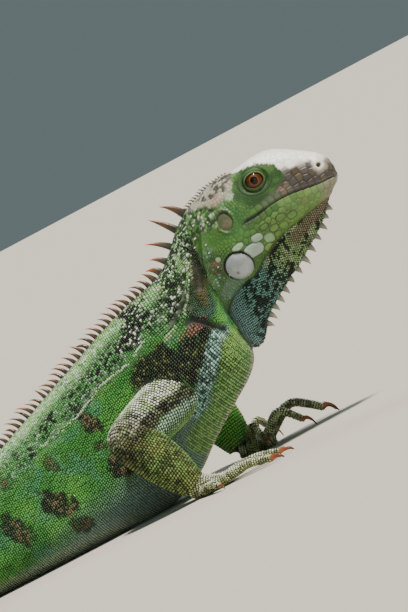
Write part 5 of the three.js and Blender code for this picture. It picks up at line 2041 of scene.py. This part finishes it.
claw_horn = horn("keratin_claw", glow_mm=0.8, roughness=0.24, streaks_mm=0.35)
t = np.linspace(0, 1, 14)
around = np.linspace(0, 2 * math.pi, 12, endpoint=False)
colours = horn_colours(t, "#9A5A30", "#7A3E20", "#3E2014", np.array([0.6]))
for (kind, side), limb in limbs.items():
    for number, tube in enumerate(limb.claws, 1):
        grid = tube_of(tube)(t[:, None] * (len(tube[0]) - 1), around[None, :])
        horn_piece(
            f"{kind}_claw_{side}_{number}_horn", grid[None], colours, claw_horn,
            [f"{kind}_claw_{side}_{number}"],
        )


# ---------------------------------------------------------------- the skin between the scales
def skin_piece():
    """The skin takes the seam colour of the nearest scale."""
    roots = np.vstack([r[::2] for r, _ in all_roots])
    seams = np.vstack([s[::2] for _, s in all_roots])
    tree = tree_of(roots)
    nearest = [tree.find(p)[1] for p in skin_places.tolist()]
    give_paint(skin, seams[nearest])
    flesh = [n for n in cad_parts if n.split("_")[0] in FLESH and "claw" not in n]
    add_piece("skin", skin, hide, flesh)


FLESH = (
    "head", "jaw", "dewlap", "neck", "trunk", "tail", "upper", "forearm", "hand", "thigh", "shank", "foot",
)
hide = scale_horn("hide_between_scales", roughness=0.62, grain_mm=0.5, bump_mm=0.08, mottle=0.12)
skin_piece()


# ---------------------------------------------------------------- floor and lights
def stage_floor():
    """A pale floor at z = 0, which isn't part of the model."""
    mesh = bpy.data.meshes.new("floor")
    mesh.from_pydata([(-40, -40, 0), (40, -40, 0), (40, 40, 0), (-40, 40, 0)], [], [(0, 1, 2, 3)])
    floor = bpy.data.objects.new("floor", mesh)
    bpy.context.scene.collection.objects.link(floor)
    paper = new_material("pale_matt_paper", Base_Color=(*linear("#C9C4BC"), 1), Roughness=0.9)
    mesh.materials.append(paper[0])


def add_light(name, towards, angle, strength, colour):
    """A distant soft lamp in the direction towards, which fills an angle of the sky, in degrees."""
    light = bpy.data.lights.new(name, "SUN")
    light.angle = math.radians(angle)
    light.energy = strength
    light.color = linear(colour)
    lamp = bpy.data.objects.new(name, light)
    lamp.location = towards
    lamp.rotation_euler = Vector(towards).to_track_quat("Z", "Y").to_euler()
    bpy.context.scene.collection.objects.link(lamp)


stage_floor()
world = bpy.data.worlds.new("room")
world.use_nodes = True
sky = world.node_tree.nodes["Background"].inputs
sky["Color"].default_value = (*linear("#9DB0B2"), 1)
sky["Strength"].default_value = 0.38
bpy.context.scene.world = world
add_light("key", (0.38, -0.36, 1.0), angle=6, strength=6.0, colour="#FFF6E8")
add_light("fill", (0.35, -1.0, 0.12), angle=40, strength=0.5, colour="#DDE8F2")
add_light("rim", (-0.6, 0.75, 0.75), angle=25, strength=0.6, colour="#E6EEF5")
